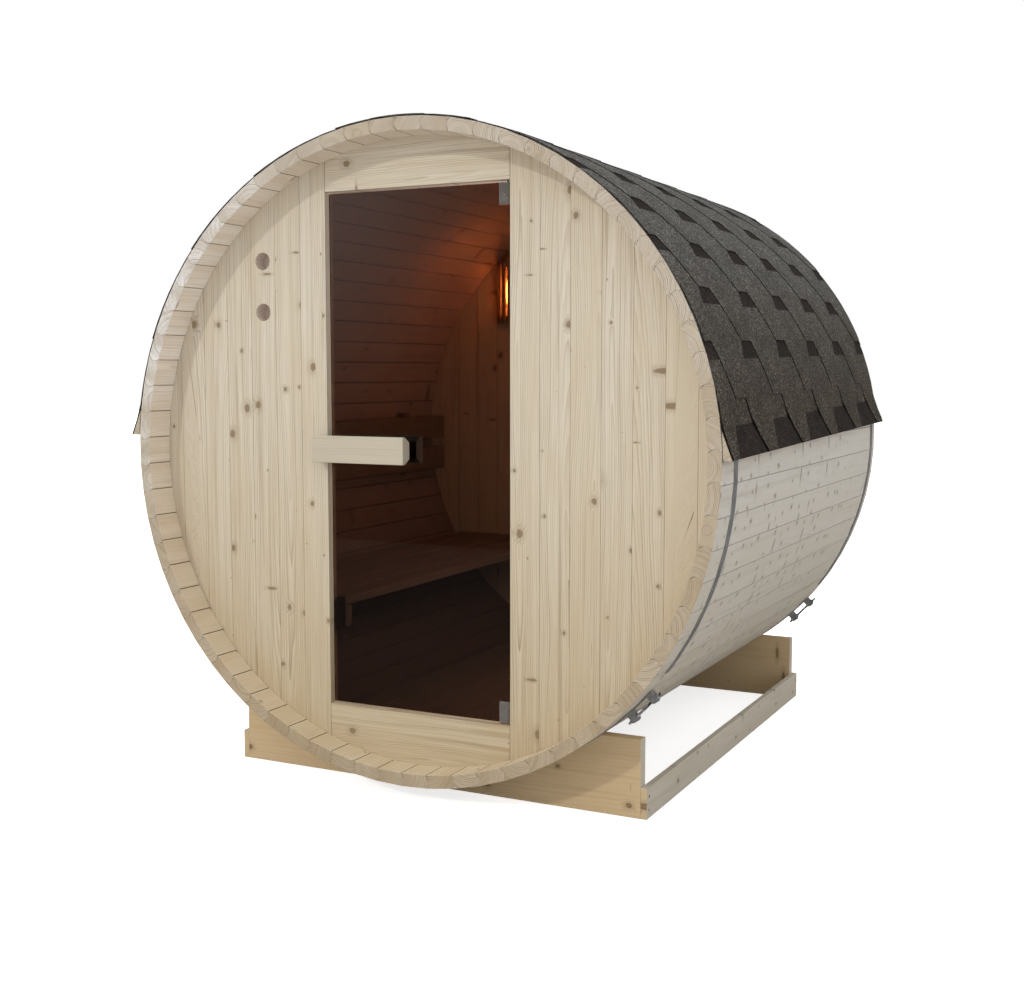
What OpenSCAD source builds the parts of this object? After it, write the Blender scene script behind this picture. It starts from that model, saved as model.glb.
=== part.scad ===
// Barrel sauna: a shell of bead-and-cove staves held by two steel hoops, with a front wall and a
// back wall set in grooves of the staves, a shingled upper half, a timber cradle and a glass door.
// Millimetres, +Z up from the ground, +Y into the depth, origin on the ground at mid-length.

/* [Shell] */
// Outer diameter of the shell, across the flat faces of the staves
shell_d = 1970; // [1700:10:2300]
// Length of the staves
shell_len = 1930; // [1600:10:2600]
// Number of staves round the shell
stave_count = 70; // [60:10:80]
// Thickness of a stave
stave_t = 40; // [34:1:50]
// Width of the bead on a stave's edge, across its thickness
bead_w = 28; // [20:1:30]
// Height of the bead
bead_h = 6; // [3:0.5:8]
// Depth of the groove that holds an end wall
croze_depth = 10; // [6:1:14]
// Height of the shell's lowest point over the ground
ground_gap = 50; // [45:1:75]

/* [End walls] */
// Depth of the front wall's face behind the front rim
front_recess = 98; // [80:1:140]
// Depth of the back wall's face behind the rear rim
back_recess = 45; // [30:1:120]
// Thickness of the wall boards
wall_t = 44; // [38:1:56]
// Cover width of a wall board
board_w = 95; // [85:1:110]

/* [Vents] */
// Diameter of a vent hole
vent_d = 54; // [40:1:70]
// Depth of the upper vent under the doorway's top
vent_drop = 200; // [180:1:240]
// Distance between the two vents
vent_pitch = 159; // [120:1:165]
// Thickness of the slide that closes the vents
slide_t = 16; // [12:1:22]
// Length of the slide past a vent's centre, up and down
slide_past = 60; // [50:1:75]
// Width of the slide
slide_w = 84; // [76:1:90]
// Width of a guide strip beside the slide
guide_w = 20; // [14:1:26]

/* [Doorway] */
// Clear width of the doorway
door_w = 634; // [560:1:680]
// Height of the header at the middle, up to the shell
header_h = 145; // [125:1:185]
// Height of the sill at the middle, down to the shell
sill_h = 157; // [135:1:195]

/* [Door] */
// Thickness of the glass
glass_t = 8; // [6:0.5:10]
// Depth of the glass behind the front wall's face
glass_recess = 14; // [12:0.5:18]
// Gap between the moving door and the doorway
door_gap = 5; // [5:0.5:8]
// Width of a pivot clip
clip_w = 35; // [30:1:45]
// Height of a pivot clip
clip_h = 64; // [50:1:80]
// Thickness of a pivot clip, front to back
clip_t = 20; // [16:1:24]
// Overlap of a pivot clip on the glass
clip_grip = 14; // [10:1:16]
// Diameter of a pivot pin
pivot_d = 8; // [6:0.5:10]
// Length of a pivot pin inside its bore
pivot_len = 22; // [16:1:28]

/* [Handles] */
// Height of a handle bar
handle_h = 83; // [70:1:96]
// Thickness of a handle bar, front to back
handle_t = 40; // [32:1:48]
// Height of a handle bar's face on the glass side
handle_back_h = 50; // [40:1:60]
// Thickness of a handle bar's full-height part
handle_lip_t = 14; // [8:1:20]
// Height of the handles' middle over the shell's axis
handle_z = 17.5; // [0:0.5:60]
// Place of the handles' inner end, left of the middle of the doorway
handle_end = 18; // [0:1:60]
// Reach of the outer handle over the wall beside the doorway
handle_overlap = 27; // [10:1:40]
// Distance from the inner handle's outer end to the doorway's edge
inner_handle_gap = 27; // [24:1:60]
// Clearance between the outer handle and the front wall's face
handle_clear = 6; // [5:0.5:10]
// Length of the inner handle's stand-offs
inner_standoff = 15; // [10:1:20]
// Diameter of a stand-off
standoff_d = 22; // [16:1:30]
// Distance from a stand-off's middle to the end of the inner handle
standoff_inset = 40; // [30:1:60]

/* [Hoops] */
// Width of a hoop
hoop_w = 30; // [24:1:40]
// Thickness of a hoop
hoop_t = 1.5; // [1:0.1:3]
// Distance from the front rim to the middle of the front hoop
front_hoop_y = 120; // [100:1:140]
// Distance from the rear rim to the middle of the rear hoop
rear_hoop_y = 64; // [50:1:66]
// Angle of the tensioners under the horizontal, on the right
tension_angle = 43.4; // [36:0.2:50]
// Clear distance between the two lugs of a hoop
lug_gap = 62; // [40:1:80]
// Radius of a lug's loop
lug_r = 11; // [9:0.5:14]
// Height of a tension bolt's axis over the hoop
bolt_lift = 20; // [15:0.5:26]
// Diameter of a tension bolt
bolt_d = 8; // [6:0.5:8]
// Width across the corners of the bolt's head and nut
bolt_head_d = 15; // [13:0.5:18]
// Length of the bolt's free thread past its nut
bolt_tail = 14; // [6:1:24]

/* [Roof] */
// Thickness of a shingle
shingle_t = 3.5; // [2.5:0.1:5]
// Exposed height of a course of shingles
course_h = 162; // [140:1:180]
// Reach of the eaves past the shell, to the side
eave_reach = 29; // [23:1:55]
// Height of the eaves over the shell's axis
eave_z = 42; // [36:1:50]
// Height of an eave batten
batten_h = 84; // [70:1:100]
// Half width of the ridge strip, round the shell
ridge_half = 90; // [70:1:120]
// Distance between the middles of two tabs of a course, along the roof
tab_pitch = 374; // [320:2:420]
// Width of a tab at its foot
tab_foot = 94; // [70:1:120]
// Distance from the front rim to the middle of the eave course's first tab
tab_start = 5; // [0:1:60]

/* [Cradle] */
// Half length of a cross bolster
bolster_half = 700; // [660:1:720]
// Height of a cross bolster
bolster_h = 235; // [200:1:240]
// Thickness of a cross bolster
bolster_t = 38; // [30:1:50]
// Distance from the front rim to the cradle
cradle_front = 174; // [150:1:240]
// Distance from the rear rim to the cradle
cradle_rear = 82; // [82:1:200]
// Thickness of a side rail
rail_t = 20; // [16:1:30]
// Height of a side rail
rail_h = 93; // [80:1:120]

/* [Floor] */
// Height of the floor's face over the lowest point inside the shell
floor_rise = 88; // [80:1:105]
// Thickness of the floor planks
floor_t = 26; // [20:1:30]
// Width of a floor plank
plank_w = 94; // [80:1:110]
// Gap between floor planks
plank_gap = 5; // [3:0.5:8]
// Height of a floor bearer at its middle
bearer_h = 34; // [28:1:40]
// Width of a floor bearer, along the sauna
bearer_w = 60; // [40:1:80]

/* [Bench] */
// Height of the seat over the floor
seat_h = 404; // [380:1:430]
// Distance that the seat's front edge stands out past the doorway's left edge
seat_past = 32; // [0:1:45]
// Thickness of a seat slat
slat_t = 28; // [22:1:34]
// Width of a seat slat
slat_w = 92; // [80:1:110]
// Gap between seat slats
slat_gap = 12; // [6:1:18]
// Height of a bench cleat
cleat_h = 70; // [50:1:90]
// Thickness of a bench cleat
cleat_t = 38; // [30:1:50]

/* [Backrest] */
// Width of a backrest board
rest_w = 98; // [85:1:110]
// Gap between the two backrest boards
rest_gap = 35; // [20:1:45]
// Thickness of a backrest board
rest_t = 24; // [18:1:28]
// Height of the backrest's lower edge over the seat
rest_rise = 283; // [260:1:300]
// Distance from the shell's inside to the back of the backrest boards, at the battens' ends
rest_standoff = 20.8; // [18:0.1:40]
// Width of a backrest batten, along the sauna
rest_batten_w = 45; // [35:1:60]
// Length of a backrest batten past the boards
rest_batten_past = 18; // [10:1:30]

/* [Lamp] */
// Radius of the half-round lamp shade
shade_r = 92; // [80:1:105]
// Height of the lamp shade
shade_h = 260; // [220:1:290]
// Thickness of the shade's top and bottom plates
shade_plate_t = 16; // [12:1:20]
// Distance from the slats' ends to the plates
shade_inset = 12; // [6:1:20]
// Number of slats round the shade
shade_slats = 9; // [7:2:11]
// Width of a shade slat
shade_slat_w = 20; // [14:1:22]
// Thickness of a shade slat
shade_slat_t = 8; // [6:1:10]
// Distance from the shell's inside, at its widest on the left, to the middle of the shade
shade_side = 433; // [405:1:465]
// Depth of the middle of the shade under the doorway's top
shade_drop = 209; // [190:1:240]
// Radius of the lamp's globe
globe_r = 36; // [30:1:40]
// Radius of the lamp's base on the wall
lamp_base_r = 38; // [30:1:44]
// Depth of the lamp's base
lamp_base_t = 24; // [18:1:28]

/* [Clearances] */
// Gap between neighbouring staves or boards
joint_gap = 0.3; // [0.2:0.05:0.5]
// Gap where a piece seats on a round face
seat_gap = 0.3; // [0.2:0.05:0.5]
// Radial clearance of a pivot pin in its bore
pivot_gap = 0.05; // [0.02:0.01:0.1]
// Gap between a clip and the glass that it grips
grip_gap = 0.2; // [0.1:0.05:0.3]

/* [Hidden] */

$fn = 96;
fine_fn = 1440;
tiny = 0.01;
spruce = "#dccdb0";
pale_spruce = "#d8d0c0";
tan_timber = "#c4a77d";
bitumen = "#4a4946";
steel = "#8f9296";
chrome_look = "#c9ccd0";
tinted = "#5a3a22";

// Shell: a stave is centred on the +X side, and its joint planes lie half a pitch to each side.
shell_r = shell_d / 2;
axis_z = shell_r + ground_gap;
inner_r = shell_r - stave_t;
stave_mid_r = shell_r - stave_t / 2;
half_pitch = 180 / stave_count;
stave_groups = 10;
group_staves = stave_count / stave_groups;
bead_r = (bead_w * bead_w / 4 + bead_h * bead_h) / (2 * bead_h);
corner_r = shell_r / cos(half_pitch);
front_y = -shell_len / 2;
rear_y = shell_len / 2;

// End walls
wall_r = inner_r + croze_depth - seat_gap;
front_wall_y = front_y + front_recess;
front_wall_in_y = front_wall_y + wall_t;
back_wall_y = rear_y - back_recess - wall_t;
room_len = back_wall_y - front_wall_in_y;
room_mid_y = (back_wall_y + front_wall_in_y) / 2;
side_boards = ceil((wall_r - door_w / 2) / board_w);
door_top = inner_r - header_h;
door_bottom = inner_r - sill_h;
vent_low = door_top - vent_drop - vent_pitch;
vent_board_place = 2;
vent_x = -door_w / 2 - (vent_board_place + 0.5) * board_w;
back_boards_half = ceil((wall_r - board_w / 2) / board_w);
back_third = ceil((2 * back_boards_half + 1) / 3);

// Hoops
hoop_in_r = corner_r + seat_gap;
hoop_out_r = hoop_in_r + hoop_t;
front_band_y = front_y + front_hoop_y;
rear_band_y = rear_y - rear_hoop_y;
bolt_r = hoop_out_r + bolt_lift;
lug_half_angle = atan((lug_gap / 2 + lug_r) / bolt_r);
bolt_span = lug_gap + 4 * lug_r;
bolt_head_t = bolt_d * 0.65;

// Roof
roof_in_r = hoop_out_r + seat_gap;
course_angle = course_h / roof_in_r * 180 / PI;
batten_top = eave_z + batten_h;
flare_angle = asin(batten_top / roof_in_r);
eave_x = shell_r + eave_reach;
flare_point = roof_in_r * [cos(flare_angle), sin(flare_angle)];
eave_point = [eave_x, eave_z];
flare_dir = (eave_point - flare_point) / norm(eave_point - flare_point);
flare_out = [-flare_dir[1], flare_dir[0]];
first_butt = flare_angle + course_angle / 2;
ridge_seam = 90 - joint_gap / 2 / roof_in_r * 180 / PI;
courses = floor((ridge_seam - first_butt) / course_angle);
ridge_angle = ridge_half / roof_in_r * 180 / PI;
course_bow = 1 / cos(course_angle / 6);
course_top_r = roof_in_r + shingle_t;
tab_gap_w = tab_pitch - tab_foot;
gap_past = 6;
gap_stop = 1.5;
gap_lift = shingle_t / 16;
gap_sink = shingle_t / 4;
flare_len = norm(eave_point - flare_point);
flare_share = flare_len / (flare_len + course_h / 2);
flare_turn = flare_out + [cos(flare_angle), sin(flare_angle)];
flare_fold = flare_turn / norm(flare_turn);
eave_lip = eave_point + 2 * shingle_t * flare_out;
first_top = course_top_r * course_bow * [cos(first_butt), sin(first_butt)];
ridge_in_r = (roof_in_r + 2 * shingle_t) * course_bow + seat_gap;

// Cradle
cradle_y0 = front_y + cradle_front;
cradle_y1 = rear_y - cradle_rear;

// Floor and bench
room_r = inner_r - seat_gap;
floor_z = inner_r - floor_rise;
seat_z = floor_z - seat_h;
seat_front = door_w / 2 - seat_past;
rest_low = seat_z - rest_rise;
rest_top = 2 * rest_w + rest_gap - rest_low;
rest_reach = max(rest_low, rest_top) + rest_batten_past;
rest_x = sqrt(room_r * room_r - rest_reach * rest_reach) - rest_standoff;
floor_half = sqrt(room_r * room_r - floor_z * floor_z);
planks = floor((2 * floor_half + plank_gap) / (plank_w + plank_gap));
planks_half = (planks * (plank_w + plank_gap) - plank_gap) / 2;
seat_wall_x = sqrt(room_r * room_r - (seat_z + slat_t) * (seat_z + slat_t));
slats = floor((seat_wall_x - seat_front + slat_gap) / (slat_w + slat_gap));

// Lamp
shade_x = inner_r - shade_side;
shade_z = door_top - shade_drop;

// Door
pivot_r = clip_t / 2;
pivot_x = door_w / 2 - door_gap - pivot_r;
glass_y = front_wall_y + glass_recess;
pivot_y = glass_y + glass_t / 2;
glass_right = pivot_x + pivot_r - 1;
glass_left = -door_w / 2 + door_gap;
glass_top = door_top - door_gap;
glass_bottom = -door_bottom + door_gap;
clip_left = pivot_x + pivot_r - clip_w;
notch_x = clip_left + clip_grip;
notch_h = clip_h - clip_grip;
outer_handle_y = front_wall_y - handle_clear;
inner_handle_y = glass_y + glass_t + inner_standoff;

// Turns a drawing in X and Z, seen from the front, into a bar from y0 to y1.
module along_y(y0, y1) {
    translate([0, y1, axis_z]) rotate([90, 0, 0]) linear_extrude(height = y1 - y0) children();
}

// A disc of the room or a wall, round the shell's axis.
module round_bar(r, y0, y1) {
    translate([0, y1, axis_z]) rotate([90, 0, 0]) cylinder(r = r, h = y1 - y0, $fn = 180);
}

// Drawing of one stave on the +X side: flat faces, a bead on its upper edge and a cove on its lower edge.
module stave_profile() {
    edge_in = inner_r * tan(half_pitch) - joint_gap / 2;
    edge_out = shell_r * tan(half_pitch) - joint_gap / 2;
    sink = bead_r - bead_h;
    upper = stave_mid_r * [cos(half_pitch), sin(half_pitch)] - sink * [-sin(half_pitch), cos(half_pitch)];
    lower = stave_mid_r * [cos(half_pitch), -sin(half_pitch)] - sink * [sin(half_pitch), cos(half_pitch)];
    difference() {
        polygon([[inner_r, -edge_in], [shell_r, -edge_out], [shell_r, edge_out], [inner_r, edge_in]]);
        translate(lower) circle(r = bead_r + joint_gap);
    }
    intersection() {
        translate(upper) circle(r = bead_r);
        rotate(half_pitch) translate([inner_r, -bead_h]) square([stave_t, 2 * bead_h]);
    }
}

module stave() {
    difference() {
        along_y(front_y, rear_y) stave_profile();
        round_bar(inner_r + croze_depth, front_wall_y - seat_gap, front_wall_in_y + seat_gap);
        round_bar(inner_r + croze_depth, back_wall_y - seat_gap, back_wall_y + wall_t + seat_gap);
    }
}

// Staves of one tenth of the shell, counted upwards from the right side.
module staves(group) {
    middle = group * group_staves;
    first = ceil(middle - group_staves / 2);
    color(pale_spruce)
        for (i = [first : first + group_staves - 1])
            translate([0, 0, axis_z]) rotate([0, -i * 2 * half_pitch, 0]) translate([0, 0, -axis_z]) stave();
}

// One vertical wall board between x0 and x1, cut round at its ends.
module wall_board(x0, x1, y0) {
    intersection() {
        round_bar(wall_r, y0, y0 + wall_t);
        translate([x0, y0, axis_z - wall_r]) cube([x1 - x0, wall_t, 2 * wall_r]);
    }
}

// Board of the front wall at a place counted from the doorway, on the right side.
module front_board(place) {
    x0 = door_w / 2 + place * board_w;
    x1 = place == side_boards - 1 ? wall_r : x0 + board_w - joint_gap;
    wall_board(x0, x1, front_wall_y);
}

module front_wall_right() {
    color(spruce) for (place = [0 : side_boards - 1]) front_board(place);
}

module front_wall_left() {
    color(spruce) mirror([1, 0, 0])
        for (place = [0 : side_boards - 1]) if (place != vent_board_place) front_board(place);
}

module front_vent_board() {
    color(spruce) difference() {
        mirror([1, 0, 0]) front_board(vent_board_place);
        for (i = [0, 1])
            translate([vent_x, front_wall_in_y + 1, axis_z + vent_low + i * vent_pitch])
                rotate([90, 0, 0]) cylinder(d = vent_d, h = wall_t + 2);
    }
}

// Slide that closes the vents from inside, between its two guide strips.
module vent_slide() {
    slide_h = vent_pitch + 2 * slide_past;
    guide_x = slide_w / 2 + joint_gap;
    color(spruce) translate([vent_x, front_wall_in_y, axis_z + vent_low - slide_past]) {
        translate([-slide_w / 2, 0, 0]) cube([slide_w, slide_t, slide_h]);
        translate([guide_x, 0, 0]) cube([guide_w, slide_t, slide_h]);
        translate([-guide_x - guide_w, 0, 0]) cube([guide_w, slide_t, slide_h]);
    }
}

// Bar of the front wall between the boards beside the doorway, from z0 to z1 over the axis.
module doorway_bar(z0, z1) {
    intersection() {
        round_bar(wall_r, front_wall_y, front_wall_in_y);
        translate([-door_w / 2 + joint_gap, front_wall_y, axis_z + z0])
            cube([door_w - 2 * joint_gap, wall_t, z1 - z0]);
    }
}

module pivot_bore(z0) {
    translate([pivot_x, pivot_y, axis_z + z0])
        cylinder(r = pivot_d / 2 + pivot_gap, h = pivot_len + seat_gap);
}

module door_header() {
    color(spruce) difference() {
        doorway_bar(door_top, wall_r);
        pivot_bore(door_top - tiny);
    }
}

module door_sill() {
    color(spruce) difference() {
        doorway_bar(-wall_r, -door_bottom);
        pivot_bore(-door_bottom - pivot_len - seat_gap + tiny);
    }
}

// Boards of the back wall, counted from the middle one, with the outer ones cut by the groove.
module back_boards(first, last) {
    color(spruce) for (place = [first : last]) {
        x0 = max((place - 0.5) * board_w, -wall_r);
        x1 = min((place + 0.5) * board_w - joint_gap, wall_r);
        wall_board(x0, x1, back_wall_y);
    }
}

module back_wall_left() {
    back_boards(-back_boards_half, -back_boards_half + back_third - 1);
}

module back_wall_middle() {
    back_boards(-back_boards_half + back_third, back_boards_half - back_third);
}

module back_wall_right() {
    back_boards(back_boards_half - back_third + 1, back_boards_half);
}

// Places a drawing at the tensioner, with local X along the bolt and local Z away from the shell.
module at_tensioner(band_y) {
    translate([0, band_y, axis_z]) rotate([0, 90 + tension_angle, 0]) children();
}

// Steel band, open at the tensioner, with a folded loop at each end for the bolt.
module hoop(band_y) {
    open_angle = 2 * lug_half_angle;
    lug_mid = lug_gap / 2 + lug_r;
    color(steel) difference() {
        union() {
            translate([0, band_y, axis_z]) rotate([90, 0, 0])
                rotate([0, 0, -tension_angle + open_angle / 2])
                    rotate_extrude(angle = 360 - open_angle, $fn = 180)
                        translate([hoop_in_r, -hoop_w / 2]) square([hoop_t, hoop_w]);
            at_tensioner(band_y) for (side = [-1, 1])
                translate([side * lug_mid, hoop_w / 2, 0]) rotate([90, 0, 0])
                    linear_extrude(height = hoop_w) lug_profile();
        }
        at_tensioner(band_y) translate([-bolt_span, 0, bolt_r]) rotate([0, 90, 0])
            cylinder(r = bolt_d / 2 + seat_gap, h = 2 * bolt_span);
    }
}

// Drawing of a lug: a loop round the bolt on a foot that grows out of the band.
module lug_profile() {
    translate([0, bolt_r]) circle(r = lug_r);
    difference() {
        translate([-lug_r, hoop_in_r - lug_r]) square([2 * lug_r, bolt_r - hoop_in_r + lug_r]);
        circle(r = hoop_in_r, $fn = 180);
    }
}

// Tension bolt with its head under the lower lug and its nut over the upper lug.
module tensioner(band_y) {
    color(steel) at_tensioner(band_y) translate([0, 0, bolt_r]) rotate([0, 90, 0]) {
        translate([0, 0, -bolt_span / 2 - bolt_tail - bolt_head_t])
            cylinder(d = bolt_d, h = bolt_span + bolt_tail + 2 * bolt_head_t);
        translate([0, 0, -bolt_span / 2 - bolt_head_t]) cylinder(d = bolt_head_d, h = bolt_head_t, $fn = 6);
        translate([0, 0, bolt_span / 2]) cylinder(d = bolt_head_d, h = bolt_head_t, $fn = 6);
    }
}

// Drawing of the right slope: stepped courses in three flats each round the shell, and a flared eave course.
module slope_profile() {
    butt_r = course_top_r + shingle_t;
    fold = flare_point + (2 - flare_share) * shingle_t * flare_fold;
    steps = [for (i = [0 : courses], part = [0 : 3])
        let (a = min(first_butt + (i + part / 3) * course_angle, ridge_seam))
        (butt_r - shingle_t * part / 3) * course_bow * [cos(a), sin(a)]];
    under = [for (i = [courses : -1 : 0], part = [2 : -1 : 0])
        let (a = first_butt + (i + part / 3) * course_angle)
        if (a < ridge_seam - tiny) roof_in_r * course_bow * [cos(a), sin(a)]];
    half_way = (flare_angle + first_butt) / 2;
    polygon(concat([flare_point, eave_point, eave_lip, fold, first_top], steps,
                   [roof_in_r * course_bow * [cos(ridge_seam), sin(ridge_seam)]], under,
                   [roof_in_r * course_bow * [cos(half_way), sin(half_way)]]));
}

// Drawing of the space over the course below, where the tabs of a course stand with their gaps.
module over_course(i) {
    low = first_butt + i * course_angle;
    past = gap_past / 2 / roof_in_r * 180 / PI;
    floor_line = [for (part = [1 : 3])
        let (a = low + part / 3 * course_angle)
        (course_top_r + gap_lift - (gap_lift + gap_sink) * part / 3) * course_bow * [cos(a), sin(a)]];
    sky = [for (part = [2 : -1 : 0])
        let (a = low - past + part / 2 * (course_angle + past))
        (roof_in_r + 6 * shingle_t) * [cos(a), sin(a)]];
    polygon(concat([(course_top_r + gap_lift) * course_bow * [cos(low - past), sin(low - past)]],
                   floor_line, sky));
}

// The same drawing over the starter strip of the flared eave course.
module over_starter() {
    butt = eave_point + (shingle_t + gap_lift) * flare_out + gap_past * flare_dir;
    fold = flare_point + (shingle_t - gap_sink * flare_share) * flare_fold;
    top = (course_top_r - gap_sink) * course_bow * [cos(first_butt), sin(first_butt)];
    polygon([butt, fold, top, top + 6 * shingle_t * flare_fold, butt + 6 * shingle_t * flare_fold]);
}

// Prisms of the gaps between the tabs of a course, over its foot: wide there and narrow at the top.
module tab_gaps(height, first) {
    flare = (tab_gap_w - tab_foot) / height / 2;
    low = tab_gap_w / 2 + gap_past * flare;
    high = tab_foot / 2 + gap_stop * flare;
    rotate([90, 0, 90]) for (y = [first : tab_pitch : shell_len])
        translate([front_y + y, 0, -8 * shingle_t]) linear_extrude(height = 16 * shingle_t)
            polygon([[-low, -gap_past], [low, -gap_past], [high, height - gap_stop], [-high, height - gap_stop]]);
}

// Joint between two strips of shingles, on the right side of the shell.
module strip_joint() {
    translate([roof_in_r - 5, front_y - 1, -joint_gap / 2]) cube([10 + 4 * shingle_t, shell_len + 2, joint_gap]);
}

module right_slope() {
    chord = 2 * course_top_r * sin(course_angle / 2);
    eave_side = first_top - eave_lip;
    difference() {
        along_y(front_y, rear_y) slope_profile();
        for (i = [0 : courses - 1]) {
            low = first_butt + i * course_angle;
            intersection() {
                along_y(front_y - 1, rear_y + 1) over_course(i);
                translate([course_top_r * cos(low), 0, axis_z + course_top_r * sin(low)])
                    rotate([0, -low - course_angle / 2, 0])
                        tab_gaps(chord, tab_start + (i % 2) * tab_pitch / 2);
            }
            translate([0, 0, axis_z]) rotate([0, -low, 0]) strip_joint();
        }
        intersection() {
            along_y(front_y - 1, rear_y + 1) over_starter();
            translate([eave_lip[0], 0, axis_z + eave_lip[1]])
                rotate([0, -atan2(-eave_side[0], eave_side[1]), 0])
                    tab_gaps(norm(eave_side), tab_start + tab_pitch / 2);
        }
    }
}

module right_roof_shingles() {
    color(bitumen) right_slope();
}

module left_roof_shingles() {
    color(bitumen) mirror([1, 0, 0]) right_slope();
}

module ridge_shingles() {
    color(bitumen) translate([0, rear_y, axis_z]) rotate([90, 0, 0])
        rotate([0, 0, 90 - ridge_angle]) rotate_extrude(angle = 2 * ridge_angle, $fn = 180)
            translate([ridge_in_r, 0]) square([shingle_t, shell_len]);
}

// Drawing of the right eave batten: a wedge between the shell and the flared course.
module batten_profile() {
    difference() {
        polygon([flare_point - seat_gap * flare_out, eave_point - seat_gap * flare_out,
                 [roof_in_r / 2, eave_z], [roof_in_r / 2, batten_top]]);
        circle(r = roof_in_r, $fn = fine_fn);
    }
}

module right_eave_batten() {
    color(tan_timber) along_y(front_y, rear_y) batten_profile();
}

module left_eave_batten() {
    color(tan_timber) mirror([1, 0, 0]) along_y(front_y, rear_y) batten_profile();
}

// Cross bolster with a round seat for the shell.
module bolster(y0) {
    color(tan_timber) difference() {
        translate([-bolster_half, y0, 0]) cube([2 * bolster_half, bolster_t, bolster_h]);
        round_bar(corner_r + seat_gap, y0 - 1, y0 + bolster_t + 1);
    }
}

module front_bolster() {
    bolster(cradle_y0);
}

module rear_bolster() {
    bolster(cradle_y1 - bolster_t);
}

module right_rail() {
    color(tan_timber) translate([bolster_half, cradle_y0, 0]) cube([rail_t, cradle_y1 - cradle_y0, rail_h]);
}

module left_rail() {
    color(tan_timber) translate([-bolster_half - rail_t, cradle_y0, 0])
        cube([rail_t, cradle_y1 - cradle_y0, rail_h]);
}

module floor_planks() {
    color(spruce) intersection() {
        round_bar(room_r, front_wall_in_y, back_wall_y);
        for (i = [0 : planks - 1])
            translate([-planks_half + i * (plank_w + plank_gap), front_wall_in_y, axis_z - floor_z - floor_t])
                cube([plank_w, room_len, floor_t]);
    }
}

module floor_bearers() {
    color(spruce) for (place = [-1, 0, 1]) {
        y0 = room_mid_y + place * (room_len - bearer_w) / 2 - bearer_w / 2;
        intersection() {
            round_bar(room_r, y0, y0 + bearer_w);
            translate([-room_r, y0, axis_z - floor_z - floor_t - bearer_h]) cube([2 * room_r, bearer_w, bearer_h]);
        }
    }
}

module bench_slats() {
    color(spruce) for (i = [0 : slats - 1])
        translate([-seat_front - i * (slat_w + slat_gap) - slat_w, front_wall_in_y, axis_z - seat_z - slat_t])
            cube([slat_w, room_len, slat_t]);
}

// Cleats on the end walls that carry the ends of the seat slats.
module bench_cleats() {
    color(spruce) for (y0 = [front_wall_in_y, back_wall_y - cleat_t])
        intersection() {
            round_bar(room_r, y0, y0 + cleat_t);
            translate([-room_r, y0, axis_z - seat_z - slat_t - cleat_h])
                cube([room_r - seat_front, cleat_t, cleat_h]);
        }
}

module backrest_boards() {
    color(spruce) for (i = [0, 1])
        translate([-rest_x, front_wall_in_y, axis_z - rest_low + i * (rest_w + rest_gap)])
            cube([rest_t, room_len, rest_w]);
}

module backrest_battens() {
    batten_len = rest_top + rest_low + 2 * rest_batten_past;
    color(spruce) for (place = [-1, 0, 1]) {
        y0 = room_mid_y + place * room_len / 3 - rest_batten_w / 2;
        intersection() {
            round_bar(room_r, y0, y0 + rest_batten_w);
            translate([-room_r, y0, axis_z - rest_low - rest_batten_past])
                cube([room_r - rest_x, rest_batten_w, batten_len]);
        }
    }
}

// Half-round lamp shade: two plates on the back wall, with upright slats on their round edges.
module lamp_shade() {
    plate_r = shade_r - shade_slat_t - seat_gap;
    plate_z = shade_h / 2 - shade_inset - shade_plate_t;
    first_turn = asin((shade_slat_w / 2 + seat_gap) / plate_r);
    turn = (180 - 2 * first_turn) / (shade_slats - 1);
    color(tan_timber) translate([-shade_x, back_wall_y, axis_z + shade_z]) {
        for (z0 = [-plate_z - shade_plate_t, plate_z])
            translate([0, 0, z0]) difference() {
                cylinder(r = plate_r, h = shade_plate_t);
                translate([-2 * plate_r, 0, -1]) cube([4 * plate_r, 2 * plate_r, shade_plate_t + 2]);
            }
        for (i = [0 : shade_slats - 1])
            rotate([0, 0, -180 + first_turn + i * turn])
                translate([plate_r + seat_gap, -shade_slat_w / 2, -shade_h / 2])
                    cube([shade_slat_t, shade_slat_w, shade_h]);
    }
}

module lamp_globe() {
    color("white") translate([-shade_x, back_wall_y, axis_z + shade_z]) {
        rotate([90, 0, 0]) cylinder(r = lamp_base_r, h = lamp_base_t);
        translate([0, -shade_r / 2, 0]) sphere(r = globe_r);
    }
}

// Glass of the door, with a notch at each pivot corner; grow makes it larger for the clips' slots.
module glass_sheet(grow) {
    difference() {
        translate([glass_left - grow, glass_y - grow, axis_z + glass_bottom - grow])
            cube([glass_right - glass_left + 2 * grow, glass_t + 2 * grow, glass_top - glass_bottom + 2 * grow]);
        for (z0 = [glass_top - notch_h + grow, glass_bottom - grow - 1])
            translate([notch_x + grow, glass_y - 1 - grow, axis_z + z0])
                cube([clip_w, glass_t + 2 * grow + 2, notch_h + 1]);
    }
}

module door_glass() {
    color(tinted, 0.6) glass_sheet(0);
}

// Pivot clip: a body rounded about the pivot that grips the notched corner, and its pin.
module pivot_clip(z0, pin_z) {
    color(chrome_look) difference() {
        union() {
            translate([pivot_x, pivot_y, axis_z + z0]) cylinder(r = pivot_r, h = clip_h);
            translate([clip_left, pivot_y - pivot_r, axis_z + z0]) cube([clip_w - pivot_r, clip_t, clip_h]);
            translate([pivot_x, pivot_y, axis_z + pin_z])
                cylinder(r = pivot_d / 2, h = pivot_len + door_gap + tiny);
        }
        glass_sheet(grip_gap);
    }
}

module upper_pivot_clip() {
    pivot_clip(glass_top - clip_h, glass_top - tiny);
}

module lower_pivot_clip() {
    pivot_clip(glass_bottom, -door_bottom - pivot_len);
}

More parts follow.
